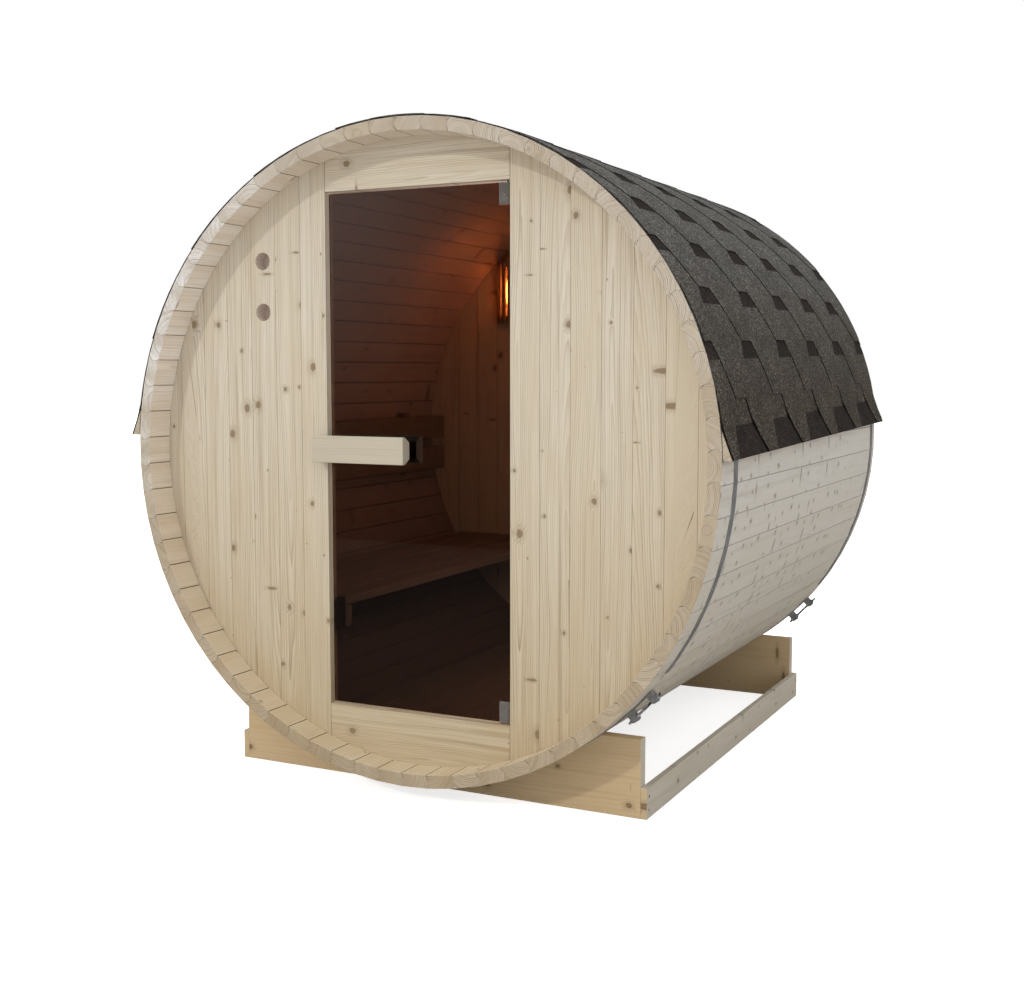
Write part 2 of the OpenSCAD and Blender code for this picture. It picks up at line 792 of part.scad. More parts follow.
// Drawing of a handle bar's end: full height at the front, then bevelled towards the glass.
module handle_profile() {
    polygon([[0, -handle_h / 2], [handle_lip_t, -handle_h / 2], [handle_t, -handle_back_h / 2],
             [handle_t, handle_back_h / 2], [handle_lip_t, handle_h / 2], [0, handle_h / 2]]);
}

// Handle bar from x0 to x1 whose glass side lies at local y = 0, with round stand-offs to the glass.
module handle(x0, x1, standoff) {
    bar_ends = [-door_w / 2 + inner_handle_gap + standoff_inset, -handle_end - standoff_inset];
    color(tan_timber) {
        translate([x0, -handle_t, 0]) rotate([90, 0, 90]) linear_extrude(height = x1 - x0) handle_profile();
        for (x = bar_ends)
            translate([x, standoff, 0]) rotate([90, 0, 0]) cylinder(d = standoff_d, h = standoff + tiny);
    }
}

module outer_handle() {
    translate([0, outer_handle_y, axis_z + handle_z])
        handle(-door_w / 2 - handle_overlap, -handle_end, glass_y - outer_handle_y);
}

module inner_handle() {
    translate([0, inner_handle_y, axis_z + handle_z]) mirror([0, 1, 0])
        handle(-door_w / 2 + inner_handle_gap, -handle_end, inner_standoff);
}

staves(0);  // right_staves
staves(1);  // upper_right_staves
staves(2);  // top_right_staves
staves(3);  // top_left_staves
staves(4);  // upper_left_staves
staves(5);  // left_staves
staves(6);  // lower_left_staves
staves(7);  // bottom_left_staves
staves(8);  // bottom_right_staves
staves(9);  // lower_right_staves
front_wall_left();
front_wall_right();
front_vent_board();
door_header();
door_sill();
back_wall_left();
back_wall_middle();
back_wall_right();
vent_slide();
hoop(front_band_y);  // front_hoop
hoop(rear_band_y);  // rear_hoop
tensioner(front_band_y);  // front_tensioner
tensioner(rear_band_y);  // rear_tensioner
right_roof_shingles();
left_roof_shingles();
ridge_shingles();
right_eave_batten();
left_eave_batten();
front_bolster();
rear_bolster();
right_rail();
left_rail();
floor_planks();
floor_bearers();
bench_slats();
bench_cleats();
backrest_boards();
backrest_battens();
lamp_shade();
lamp_globe();
door_glass();
upper_pivot_clip();
lower_pivot_clip();
outer_handle();
inner_handle();
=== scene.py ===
import math
import random

import bmesh
import bpy
from mathutils import Matrix, Vector


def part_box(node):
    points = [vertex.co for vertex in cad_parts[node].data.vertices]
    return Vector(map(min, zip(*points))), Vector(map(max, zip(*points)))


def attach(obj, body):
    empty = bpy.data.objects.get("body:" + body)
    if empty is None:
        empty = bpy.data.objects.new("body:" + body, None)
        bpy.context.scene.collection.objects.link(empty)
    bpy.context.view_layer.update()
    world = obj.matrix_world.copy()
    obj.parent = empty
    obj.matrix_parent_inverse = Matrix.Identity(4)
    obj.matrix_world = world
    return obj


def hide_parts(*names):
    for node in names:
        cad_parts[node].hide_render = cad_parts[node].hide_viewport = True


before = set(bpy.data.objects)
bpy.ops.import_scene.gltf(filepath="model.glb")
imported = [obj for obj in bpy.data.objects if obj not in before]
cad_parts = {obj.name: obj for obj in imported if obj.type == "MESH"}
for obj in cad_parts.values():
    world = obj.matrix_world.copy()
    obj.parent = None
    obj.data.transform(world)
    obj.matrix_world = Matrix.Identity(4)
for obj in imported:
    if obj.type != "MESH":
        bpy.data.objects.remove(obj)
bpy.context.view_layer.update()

# Sizes in metres, as in the part's source
SHELL_R = 0.985
STAVE_T = 0.040
INNER_R = SHELL_R - STAVE_T
STAVES = 70
HALF_PITCH = math.pi / STAVES
SHELL_LEN = 1.930
FRONT_Y = -SHELL_LEN / 2
REAR_Y = SHELL_LEN / 2
AXIS_Z = 1.035
JOINT_GAP = 0.0003
WALL_R = 0.9547
WALL_T = 0.044
FRONT_WALL_Y = FRONT_Y + 0.098
FRONT_IN_Y = FRONT_WALL_Y + WALL_T
BACK_WALL_Y = REAR_Y - 0.045 - WALL_T
BOARD_W = 0.095
DOOR_HALF = 0.317
DOOR_TOP = 0.800
DOOR_BOTTOM = -0.788
VENT_X = -0.5545
VENT_HEIGHTS = (0.441, 0.600)
VENT_D = 0.054
ROOM_R = INNER_R - 0.0003
HOOP_IN_R = SHELL_R / math.cos(HALF_PITCH) + 0.0003
HOOP_T = 0.0015
HOOP_W = 0.030
HOOP_OUT_R = HOOP_IN_R + HOOP_T
ROOF_R = HOOP_OUT_R + 0.0003
TENSION_ANGLE = math.radians(43.4)
COURSE = 0.162
TAB_PITCH = 0.374
TAB_FOOT = 0.094
TAB_START = 0.005
SHEET_T = 0.0017
SHEET_TOP = 2 * COURSE + 0.020
DARK_BAND = 2 * COURSE - 0.052
FIRST_BUTT = math.radians(11.5)
COURSE_TURN = COURSE / ROOF_R
EAVE_REACH = 0.0906
FLARE_TURN = math.radians(7.33)
FLARE_KINK = math.radians(14.7)
ROOF_SKEW = 0.0200
# Where the staves' tone paints glare: palest round this turn, fading over the spread
GLARE_TURN = math.radians(150)
GLARE_SPREAD = math.radians(55)
CROZE_R = INNER_R + 0.010
PAST = 0.05
BOARD_EASE = 0.0012
LUG_X = 0.042
BOLT_LIFT = HOOP_OUT_R + 0.020
BOLT_END = -0.0705
THREAD = 0.00125
ROOF_ROWS = (0.045, 0.085)
TAB_SHADOW_W = 0.0026
STARTER_W = 0.190
PLANK_W = 0.094
PLANK_PITCH = 0.099
SLAT_W = 0.092
SLAT_PITCH = 0.104
BEARER_W = 0.060
CLEAT_T = 0.038
REST_W = 0.098
BATTEN_W = 0.045
LAMP_R = 0.092
LAMP_SLAT_T = 0.008
PIVOT_X = 0.302
PIVOT_Y = -0.849
CLIP_H = 0.064
NOTCH_X = 0.291
NOTCH_H = 0.050
HANDLE_T = 0.040
HANDLE_LIP = 0.014
HANDLE_PEGS = (-0.250, -0.058)
CARD_SPOT = (-4.3, -6.0, 3.0)

# The bead of a stave: distance from its middle, and rise over the step before
BEAD_STEPS = ((0.0160, 0.0), (0.0145, 0.0028), (0.0115, 0.0024),
              (0.0078, 0.0017), (0.0040, 0.0010), (0.0, 0.0004))

tones = random.Random(19)


# Tools of the bench: each works on one piece, as by hand


def start(kind, **sizes):
    """Adds a primitive with nothing else selected."""
    bpy.ops.object.select_all(action="DESELECT")
    getattr(bpy.ops.mesh, "primitive_" + kind + "_add")(**sizes)
    return bpy.context.object


def take(piece):
    """Makes one piece the only one selected."""
    bpy.ops.object.select_all(action="DESELECT")
    piece.select_set(True)
    bpy.context.view_layer.objects.active = piece


def settle(piece):
    """Puts a piece's place, turn and size into its mesh."""
    take(piece)
    bpy.ops.object.transform_apply(location=True, rotation=True, scale=True)


def block(low, high):
    """A cube set to a box."""
    middle = [(a + b) / 2 for a, b in zip(low, high)]
    piece = start("cube", size=1.0, location=middle)
    piece.scale = [b - a for a, b in zip(low, high)]
    settle(piece)
    return piece


def rod(radius, length, spot, sides, turn=(0, math.pi / 2, 0), **more):
    """A cylinder along X, or turned another way."""
    piece = start("cylinder", vertices=sides, radius=radius, depth=length, location=spot,
                  rotation=turn, **more)
    settle(piece)
    return piece


def drum(radius, y0, y1, x=0.0, z=AXIS_Z, sides=180):
    """A cylinder that lies along Y."""
    return rod(radius, y1 - y0, (x, (y0 + y1) / 2, z), sides, (math.pi / 2, 0, 0))


def modify(piece, kind, **settings):
    """Adds a modifier and applies it."""
    take(piece)
    step = piece.modifiers.new("step", kind)
    for key, value in settings.items():
        setattr(step, key, value)
    bpy.ops.object.modifier_apply(modifier=step.name)


def repeat(piece, count, pitch, weld):
    """Repeats a piece in a row and welds the copies where they meet."""
    modify(piece, "ARRAY", count=count, use_relative_offset=False, use_constant_offset=True,
           constant_offset_displace=pitch, use_merge_vertices=True, merge_threshold=weld)


def cut(piece, tool, operation="DIFFERENCE"):
    """Cuts a piece with a tool, or keeps what lies inside it, and removes the tool."""
    modify(piece, "BOOLEAN", object=tool, operation=operation, solver="MANIFOLD")
    bpy.data.objects.remove(tool)


def keep_round(piece, radius, y0, y1):
    """Keeps what lies within a radius of the shell's axis."""
    cut(piece, drum(radius, y0 - PAST, y1 + PAST), "INTERSECT")


def ease(piece, width, segments=2, angle=32, clamp=True):
    """Rounds the sharp edges a little and shades what is round."""
    modify(piece, "BEVEL", width=width, segments=segments, limit_method="ANGLE",
           angle_limit=math.radians(angle), use_clamp_overlap=clamp)
    take(piece)
    bpy.ops.object.shade_smooth_by_angle(angle=math.radians(14))


def edit(piece, mode="FACE"):
    """Opens a piece in edit mode with nothing selected."""
    take(piece)
    bpy.ops.object.mode_set(mode="EDIT")
    bpy.ops.mesh.select_mode(type=mode)
    bpy.ops.mesh.select_all(action="DESELECT")


def done():
    bpy.ops.object.mode_set(mode="OBJECT")


def pick(piece, kind, test):
    """Selects, in edit mode, the faces, edges or verts that pass a test."""
    bpy.ops.mesh.select_all(action="DESELECT")
    shape = bmesh.from_edit_mesh(piece.data)
    for part in getattr(shape, kind):
        part.select_set(bool(test(part)))
    shape.select_flush_mode()
    bmesh.update_edit_mesh(piece.data)


def slice_at(piece, point, normal, keep="both"):
    """Bisects a piece in edit mode, and caps it where one side goes."""
    bpy.ops.mesh.select_all(action="SELECT")
    bpy.ops.mesh.bisect(plane_co=point, plane_no=normal, use_fill=keep != "both",
                        clear_outer=keep == "below", clear_inner=keep == "above")


def twin(piece, matrix=None):
    """A copy with its own mesh, set in another place."""
    copy = piece.copy()
    copy.data = piece.data.copy()
    bpy.context.scene.collection.objects.link(copy)
    if matrix is not None:
        copy.data.transform(matrix)
    return copy


def mirrored(piece):
    """A copy on the other side of the middle, with its faces turned out again."""
    copy = twin(piece, Matrix.Scale(-1, 4, (1, 0, 0)))
    copy.data.flip_normals()
    return copy


def joined(pieces, name):
    """Joins pieces into one."""
    take(pieces[0])
    for piece in pieces:
        piece.select_set(True)
    if len(pieces) > 1:
        bpy.ops.object.join()
    made = bpy.context.object
    made.name = name
    made.data.name = name
    return made


def round_shell(turn):
    """Turns a drawing on the right side up round the shell, and lifts it to the shell's axis."""
    return Matrix.Translation((0, 0, AXIS_Z)) @ Matrix.Rotation(-turn, 4, "Y")


def paint(piece, *finishes):
    """Sets the material slots of a piece, in order."""
    numbers = [face.material_index for face in piece.data.polygons]
    piece.data.materials.clear()
    for finish in finishes:
        piece.data.materials.append(finish)
    for face, number in zip(piece.data.polygons, numbers):
        face.material_index = min(number, len(finishes) - 1)


def place(piece, body, slot, *replaced):
    """Hands a finished piece to the frame."""
    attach(piece, body)
    if replaced:
        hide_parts(*replaced)


def lay_grain(piece, where):
    """Writes where each point lies in its board, across, through and along the grain, and the board's tone.

    where gives, for a point, the board's tone and the three distances."""
    mesh = piece.data
    if "grain" not in mesh.attributes:
        mesh.attributes.new("grain", "FLOAT_VECTOR", "POINT")
        mesh.attributes.new("tone", "FLOAT", "POINT")
    grain = mesh.attributes["grain"]
    tone = mesh.attributes["tone"]
    for i, point in enumerate(mesh.vertices):
        shade, across, through, along = where(point.co)
        grain.data[i].vector = (across, through, along)
        tone.data[i].value = shade


def one_board(piece, across, along, shade=None):
    """Grain of a piece that is a single board; across and along are axis numbers."""
    shade = tones.random() if shade is None else shade
    through = 3 - across - along
    low = [min(v.co[k] for v in piece.data.vertices) for k in range(3)]
    high = [max(v.co[k] for v in piece.data.vertices) for k in range(3)]
    middle = [(a + b) / 2 for a, b in zip(low, high)]

    def where(co):
        return (shade, co[across] - middle[across], co[through] - middle[through], co[along] - middle[along])

    lay_grain(piece, where)


def board(low, high, across, along, width=BOARD_EASE):
    """One eased board with its own grain."""
    piece = block(low, high)
    ease(piece, width)
    one_board(piece, across, along)
    return piece


# Finishes: every material is built node by node


class Finish:
    """A material under the brush."""

    def __init__(self, name):
        self.material = bpy.data.materials.new(name)
        self.material.use_nodes = True
        self.tree = self.material.node_tree
        self.shader = self.tree.nodes["Principled BSDF"]

    def node(self, kind, values, **settings):
        made = self.tree.nodes.new("ShaderNode" + kind)
        for key, value in settings.items():
            setattr(made, key, value)
        for socket, value in values.items():
            self.set(made.inputs[socket], value)
        return made

    def set(self, socket, value):
        if isinstance(value, bpy.types.NodeSocket):
            self.tree.links.new(value, socket)
        elif socket.type == "RGBA":
            socket.default_value = (*value, 1.0)
        else:
            socket.default_value = value

    def math(self, operation, a, b=0.0, c=0.0):
        return self.node("Math", {0: a, 1: b, 2: c}, operation=operation).outputs[0]

    def times(self, a, b):
        return self.math("MULTIPLY", a, b)

    def plus(self, a, b):
        return self.math("ADD", a, b)

    def times_plus(self, a, b, c):
        return self.math("MULTIPLY_ADD", a, b, c)

    def spot(self):
        """Where a point of the piece lies, in metres."""
        return self.node("TexCoord", {}).outputs["Object"]

    def vector(self, x, y, z):
        return self.node("CombineXYZ", {0: x, 1: y, 2: z}).outputs[0]

    def noise(self, place, scale, detail=2.0, rough=0.5):
        return self.node("TexNoise", {"Vector": place, "Scale": scale, "Detail": detail,
                                      "Roughness": rough}).outputs["Fac"]

    def step(self, value, low, high, bottom=0.0, top=1.0):
        """A soft step from bottom to top as the value goes from low to high."""
        return self.node("MapRange", {"Value": value, "From Min": low, "From Max": high, "To Min": bottom,
                                      "To Max": top}, interpolation_type="SMOOTHSTEP").outputs[0]

    def mix(self, share, a, b, blend="MIX"):
        made = self.node("Mix", {0: share, 6: a, 7: b}, data_type="RGBA", blend_type=blend)
        return made.outputs[2]

    def bump(self, height, strength, distance):
        return self.node("Bump", {"Height": height, "Strength": strength, "Distance": distance}).outputs[0]

    def on_shader(self, **values):
        for name, value in values.items():
            self.set(self.shader.inputs[name.replace("_", " ")], value)


def timber(name, pale, late, warm, knot_colour, ring=0.006, depth=0.5, knots=(0.010, 0.5, 0.095, 0.26),
           painted_low_shade=None, spread=0.5, streak=0.5, knot_power=1.9, lean=0.06, spike_length=1.0,
           end_rings=0.0):
    """Sawn softwood: growth rings round a wandering pith, streaks, and knots that push the rings aside.

    knots gives their size, the share of cells with one, and a cell's width and length."""
    f = Finish(name)
    knot_size, knot_share, cell_wide, cell_long = knots
    grain = f.node("Attribute", {}, attribute_name="grain").outputs["Vector"]
    tone = f.node("Attribute", {}, attribute_name="tone").outputs["Fac"]
    split = f.node("SeparateXYZ", {0: grain}).outputs
    across, through, along = split[0], split[1], split[2]
    shift = f.times(tone, 61.7)
    second = f.math("FRACT", f.times(tone, 17.31))
    third = f.math("FRACT", f.times(tone, 43.77))

    # Knots, one at most in each cell of the board's face
    cell_u = f.times_plus(across, 1 / cell_wide, f.times(tone, 23.0))
    cell_w = f.times_plus(along, 1 / cell_long, shift)
    spot = f.vector(cell_u, cell_w, 0.0)
    cells = f.node("TexVoronoi", {"Vector": spot, "Scale": 1.0, "Randomness": 0.9},
                   voronoi_dimensions="2D", feature="F1").outputs
    away = f.node("VectorMath", {0: spot, 1: cells["Position"]}, operation="SUBTRACT").outputs[0]
    luck = f.node("SeparateColor", {0: cells["Color"]}).outputs
    spike = f.math("GREATER_THAN", luck[2], 0.72)
    squeeze = f.vector(f.times_plus(spike, -0.72 * cell_wide, cell_wide),
                       f.times_plus(spike, 0.4 * cell_long, cell_long * 0.8), 0.0)
    squeeze = f.node("VectorMath", {0: squeeze, "Scale": 1.0 / spike_length}, operation="SCALE").outputs[0]
    away = f.node("VectorMath", {0: away, 1: squeeze}, operation="MULTIPLY").outputs[0]
    ragged = f.noise(f.vector(across, through, along), 90.0, 2.0)
    distance = f.node("VectorMath", {0: away}, operation="LENGTH").outputs[1]
    distance = f.times_plus(f.math("SUBTRACT", ragged, 0.5), 0.006, distance)
    size = f.times(f.math("POWER", luck[0], knot_power), knot_size)
    size = f.times(size, f.math("LESS_THAN", luck[1], knot_share))
    size = f.plus(size, 0.0001)
    reach = f.math("DIVIDE", distance, size)
    knot = f.step(reach, 1.15, 0.75)
    heart = f.step(reach, 0.75, 0.1)
    halo = f.step(reach, 3.2, 0.6)

    # Growth rings
    wander = f.noise(f.vector(0.0, shift, f.times(along, 1.4)), 1.0, 1.0)
    wander = f.times(f.math("SUBTRACT", wander, 0.5), 0.05)
    pith_u = f.times(f.math("SUBTRACT", second, 0.5), 0.13)
    pith_v = f.times_plus(third, 0.055, 0.012)
    from_u = f.plus(f.math("SUBTRACT", across, pith_u), wander)
    slant = f.times(f.math("SUBTRACT", f.math("FRACT", f.times(tone, 91.3)), 0.5), lean)
    from_v = f.times_plus(along, slant, f.plus(through, pith_v))
    radius = f.math("SQRT", f.plus(f.times(from_u, from_u), f.times(from_v, from_v)))
    stretched = f.vector(across, through, f.times_plus(along, 0.12, shift))
    rough = f.noise(stretched, 28.0, 3.0)
    radius = f.times_plus(f.math("SUBTRACT", rough, 0.5), 0.012, radius)
    radius = f.times_plus(f.times(halo, size), 1.3, radius)
    rings = f.math("DIVIDE", radius, ring)
    year = f.noise(f.vector(f.times(rings, 0.6), shift, 0.0), 1.0, 2.0)
    line = f.math("POWER", f.math("FRACT", rings), 2.2)
    line = f.times(line, f.step(year, 0.35, 0.7, 0.25, 1.0))

    # Streaks along the grain and broad clouds
    fine = f.noise(f.vector(across, through, f.times_plus(along, 0.03, shift)), 160.0, 3.0, 0.6)
    cloud = f.noise(f.vector(f.times(across, 2.0), through, f.times_plus(along, 0.5, shift)),
                    6.0, 2.0)

    band = f.noise(f.vector(across, through, f.times_plus(along, 0.02, shift)), 42.0, 4.0, 0.62)
    colour = f.mix(f.times(line, depth), pale, late)
    colour = f.mix(f.step(band, 0.52, 0.74, 0.0, streak), colour, late)
    colour = f.mix(f.step(cloud, 0.35, 0.75, 0.0, 0.55), colour, warm)
    colour = f.mix(f.step(fine, 0.3, 0.8, 0.0, 0.22), colour, late)
    colour = f.mix(f.times(tone, spread), colour, warm)
    if end_rings:
        colour = f.mix(f.times(line, end_rings), colour, late)
    # Painted shade: the colour is multiplied by a darker tint towards the bottom, where less light reaches
    if painted_low_shade:
        height = f.node("SeparateXYZ", {0: f.spot()}).outputs[2]
        colour = f.mix(f.step(height, 1.5, 0.0, 0.0, 1.0), colour, painted_low_shade, "MULTIPLY")
    colour = f.mix(f.times(halo, 0.28), colour, knot_colour)
    colour = f.mix(f.times(knot, 0.75), colour, knot_colour)
    colour = f.mix(f.times(heart, 0.4), colour, late)
    relief = f.plus(f.times(line, 0.6), f.times(fine, 0.8))
    f.on_shader(Base_Color=colour, Roughness=f.step(line, 0.0, 1.0, 0.66, 0.52),
                Normal=f.bump(relief, 0.35, 0.0006), Specular_IOR_Level=0.3)
    return f.material


def shingle_granules(name, dark, mid, light, painted_low_shade=None):
    """Mineral granules on bitumen: a close scatter of grey chips that catch the light."""
    f = Finish(name)
    spot = f.spot()
    chips = f.node("TexVoronoi", {"Vector": spot, "Scale": 310.0}, feature="F1").outputs
    chip = f.node("SeparateColor", {0: chips["Color"]}).outputs
    blend = f.noise(spot, 9.0, 3.0)
    colour = f.mix(f.step(chip[0], 0.1, 0.75), dark, mid)
    colour = f.mix(f.step(chip[1], 0.72, 0.95), colour, light)
    colour = f.mix(f.step(blend, 0.3, 0.75, 0.0, 0.4), colour, dark)
    # Painted shade: the colour is multiplied by a darker, browner tint lower down the roof, where less light
    # falls
    if painted_low_shade:
        height = f.node("SeparateXYZ", {0: spot}).outputs[2]
        colour = f.mix(f.step(height, 2.0, 1.05), colour, painted_low_shade, "MULTIPLY")
    relief = f.plus(chip[2], f.times(chips["Distance"], -1.2))
    f.on_shader(Base_Color=colour, Roughness=0.93, Specular_IOR_Level=0.2,
                Normal=f.bump(relief, 0.6, 0.0015))
    return f.material


def rolled_steel(name, colour, worn_or_shade, roughness, cloud=24.0):
    """Galvanised or plated steel with fine marks along it and clouds of a second colour: dull wear on band
    and clips, painted glints and shade on the bolts.
    """
    f = Finish(name)
    spot = f.spot()
    marks = f.noise(f.node("Mapping", {"Vector": spot, "Scale": (40.0, 900.0, 40.0)}).outputs[0], 1.0, 3.0)
    clouds = f.noise(spot, cloud, 3.0)
    f.on_shader(Base_Color=f.mix(f.step(clouds, 0.36, 0.64), colour, worn_or_shade), Metallic=0.55,
                Roughness=f.step(marks, 0.3, 0.7, roughness - 0.08, roughness + 0.1),
                Normal=f.bump(marks, 0.08, 0.0004))
    return f.material


def bronze_glass(name):
    """Toughened glass with a bronze tint and faint smears."""
    f = Finish(name)
    spot = f.spot()
    smear = f.noise(f.node("Mapping", {"Vector": spot, "Scale": (9.0, 9.0, 3.0)}).outputs[0], 1.0, 4.0, 0.6)
    tint = f.mix(f.step(smear, 0.3, 0.75), (0.165, 0.105, 0.078), (0.158, 0.101, 0.076))
    f.on_shader(Base_Color=tint, Roughness=f.step(smear, 0.35, 0.8, 0.0, 0.03), IOR=1.5,
                Specular_IOR_Level=0.3, Transmission_Weight=1.0)
    return f.material


def lit_globe(name):
    """Frosted lamp glass that glows warm."""
    f = Finish(name)
    frost = f.noise(f.spot(), 60.0, 2.0)
    f.on_shader(Base_Color=f.mix(frost, (0.9, 0.72, 0.5), (0.95, 0.8, 0.6)), Roughness=0.6,
                Emission_Color=(1.0, 0.34, 0.08), Emission_Strength=60.0)
    return f.material


front_spruce = timber("front_spruce", (0.725, 0.66, 0.545), (0.31, 0.205, 0.10), (0.63, 0.53, 0.38),
                      (0.22, 0.145, 0.075), ring=0.0065, depth=0.8, painted_low_shade=(0.82, 0.755, 0.635),
                      streak=0.6, lean=0.10, knots=(0.0115, 0.5, 0.06, 0.19))
# Joint finishes: dark eased edges at the joints, partly dirt and partly painted shade in the grooves
front_joint_dirt_and_shade = timber("front_joint_dirt_and_shade", (0.30, 0.235, 0.155), (0.2, 0.15, 0.09), (0.28, 0.21, 0.13),
                     (0.1, 0.065, 0.04), knots=(0.010, 0.1, 0.095, 0.26))
# A paler wood for the vents' bores and slide: painted light against the shade deep in the holes
vent_spruce_brightened = timber("vent_spruce_brightened", (0.74, 0.645, 0.575), (0.42, 0.33, 0.27), (0.68, 0.58, 0.49),
                     (0.3, 0.2, 0.12), ring=0.0045, depth=0.85, knots=(0.010, 0.0, 0.095, 0.26))
back_spruce = timber("back_spruce", (0.66, 0.59, 0.47), (0.46, 0.35, 0.22), (0.6, 0.5, 0.35),
                     (0.16, 0.10, 0.06), ring=0.0065, depth=0.6, streak=0.6,
                     knots=(0.011, 0.5, 0.06, 0.19))
# The outside of the staves: greyer than the ends, painted cool light from the right side
stave_side_cool_lit = timber("stave_side_cool_lit", (0.65, 0.625, 0.59), (0.46, 0.425, 0.37), (0.61, 0.57, 0.505),
                    (0.23, 0.195, 0.155), ring=0.007, depth=0.6, spread=0.45,
                    painted_low_shade=(0.93, 0.87, 0.76), streak=0.95, knot_power=1.1, spike_length=0.6,
                    knots=(0.0115, 0.85, 0.05, 0.09))
stave_joint_dirt_and_shade = timber("stave_joint_dirt_and_shade", (0.42, 0.395, 0.355), (0.35, 0.32, 0.28), (0.43, 0.39, 0.34),
                     (0.14, 0.12, 0.1), spread=0.4, knots=(0.010, 0.1, 0.095, 0.26))
# The stave's inside at the shell's open ends: a very pale copy, painted light against the shade of the
# recess
stave_reveal_lit = timber("stave_reveal_lit", (0.98, 0.92, 0.85), (0.62, 0.50, 0.38), (0.70, 0.57, 0.42),
                      (0.25, 0.17, 0.11), ring=0.008, depth=0.75, spread=0.7,
                      painted_low_shade=(0.81, 0.77, 0.63), knots=(0.008, 0.4, 0.06, 0.16))
reveal_joint_dirt_and_shade = timber("reveal_joint_dirt_and_shade", (0.60, 0.49, 0.39), (0.40, 0.30, 0.21), (0.15, 0.105, 0.06),
                      (0.08, 0.05, 0.03), spread=1.2, knots=(0.010, 0.0, 0.095, 0.26))
# The same inside face within the room: a dark copy, painted shade, which also keeps the lamp's glow from
# spreading
stave_room_shaded = timber("stave_room_shaded", (0.47, 0.39, 0.34), (0.30, 0.23, 0.18), (0.42, 0.33, 0.27),
                    (0.14, 0.09, 0.06), ring=0.008, depth=0.6, spread=0.6, painted_low_shade=(0.34, 0.30, 0.28),
                    knots=(0.012, 0.5, 0.06, 0.16))
room_joint_dirt_and_shade = timber("room_joint_dirt_and_shade", (0.07, 0.055, 0.045), (0.05, 0.04, 0.03), (0.06, 0.045, 0.035),
                    (0.04, 0.03, 0.02), knots=(0.010, 0.1, 0.095, 0.26))
# Stave ends: the near-white pale colour, which the staves of lowest tone take, paints the glare on the rim's
# upper left
stave_end = timber("stave_end", (1.0, 0.98, 0.955), (0.17, 0.115, 0.06), (0.46, 0.36, 0.235),
                   (0.2, 0.14, 0.085), ring=0.0050, depth=0.75, spread=0.9, painted_low_shade=(0.86, 0.80, 0.69),
                   streak=0.2, end_rings=0.9, knots=(0.006, 0.25, 0.06, 0.10))
cradle_timber = timber("cradle_timber", (0.655, 0.497, 0.302), (0.44, 0.295, 0.155), (0.62, 0.45, 0.255),
                       (0.14, 0.075, 0.035), ring=0.010, depth=0.65, spread=0.4,
                       knots=(0.012, 0.5, 0.10, 0.22))
# A greyer copy of the cradle's wood for faces turned to the right: painted cool side light
rail_timber_side_lit = timber("rail_timber_side_lit", (0.57, 0.52, 0.43), (0.40, 0.34, 0.255), (0.52, 0.455, 0.345),
                     (0.16, 0.11, 0.065), ring=0.009, depth=0.6, spread=0.3, knot_power=0.9,
                     spike_length=0.6, knots=(0.011, 0.85, 0.06, 0.15))
handle_spruce = timber("handle_spruce", (0.58, 0.525, 0.42), (0.41, 0.335, 0.23), (0.53, 0.46, 0.34),
                       (0.2, 0.14, 0.08), ring=0.008, depth=0.7, spread=0.3,
                       knots=(0.004, 0.5, 0.06, 0.09))
# Near-black wood for the inner handle: painted shade, as the room behind the glass is dark
inner_wood_shaded = timber("inner_wood_shaded", (0.085, 0.066, 0.048), (0.055, 0.042, 0.03), (0.075, 0.056, 0.04),
                    (0.04, 0.03, 0.02), knots=(0.010, 0.0, 0.095, 0.26))
bench_alder = timber("bench_alder", (0.25, 0.197, 0.148), (0.165, 0.124, 0.085), (0.225, 0.17, 0.118),
                     (0.12, 0.08, 0.05), ring=0.008, depth=0.5, knots=(0.008, 0.3, 0.095, 0.26))
roof_granules = shingle_granules("roof_granules", (0.052, 0.049, 0.044), (0.120, 0.116, 0.105),
                                 (0.31, 0.30, 0.275), painted_low_shade=(0.60, 0.50, 0.41))
dark_granules = shingle_granules("dark_granules", (0.018, 0.0125, 0.0105), (0.036, 0.0255, 0.021),
                                 (0.066, 0.053, 0.046))
sheet_edge = shingle_granules("sheet_edge", (0.05, 0.046, 0.042), (0.09, 0.085, 0.078),
                              (0.15, 0.145, 0.138))
# Near-black line along the tabs' front edges: painted shadow
tab_edge_shadow = shingle_granules("tab_edge_shadow", (0.007, 0.006, 0.005), (0.014, 0.012, 0.010),
                            (0.03, 0.027, 0.024))
hoop_steel = rolled_steel("hoop_steel", (0.44, 0.44, 0.44), (0.33, 0.33, 0.335), 0.36)
# Small bright and dark patches far apart in tone: painted glints and shade on the bolts and screws
bolt_steel_glints = rolled_steel("bolt_steel_glints", (0.80, 0.80, 0.80), (0.10, 0.10, 0.10), 0.28, cloud=95.0)
# Chrome darkened and warmed: painted reflection of the dark brown surroundings
clip_chrome_dark_reflection = rolled_steel("clip_chrome_dark_reflection", (0.36, 0.335, 0.31), (0.28, 0.255, 0.23), 0.18)
door_bronze = bronze_glass("door_bronze")
globe_glow = lit_globe("globe_glow")


# Shell: one stave is modelled on the right side and copied round


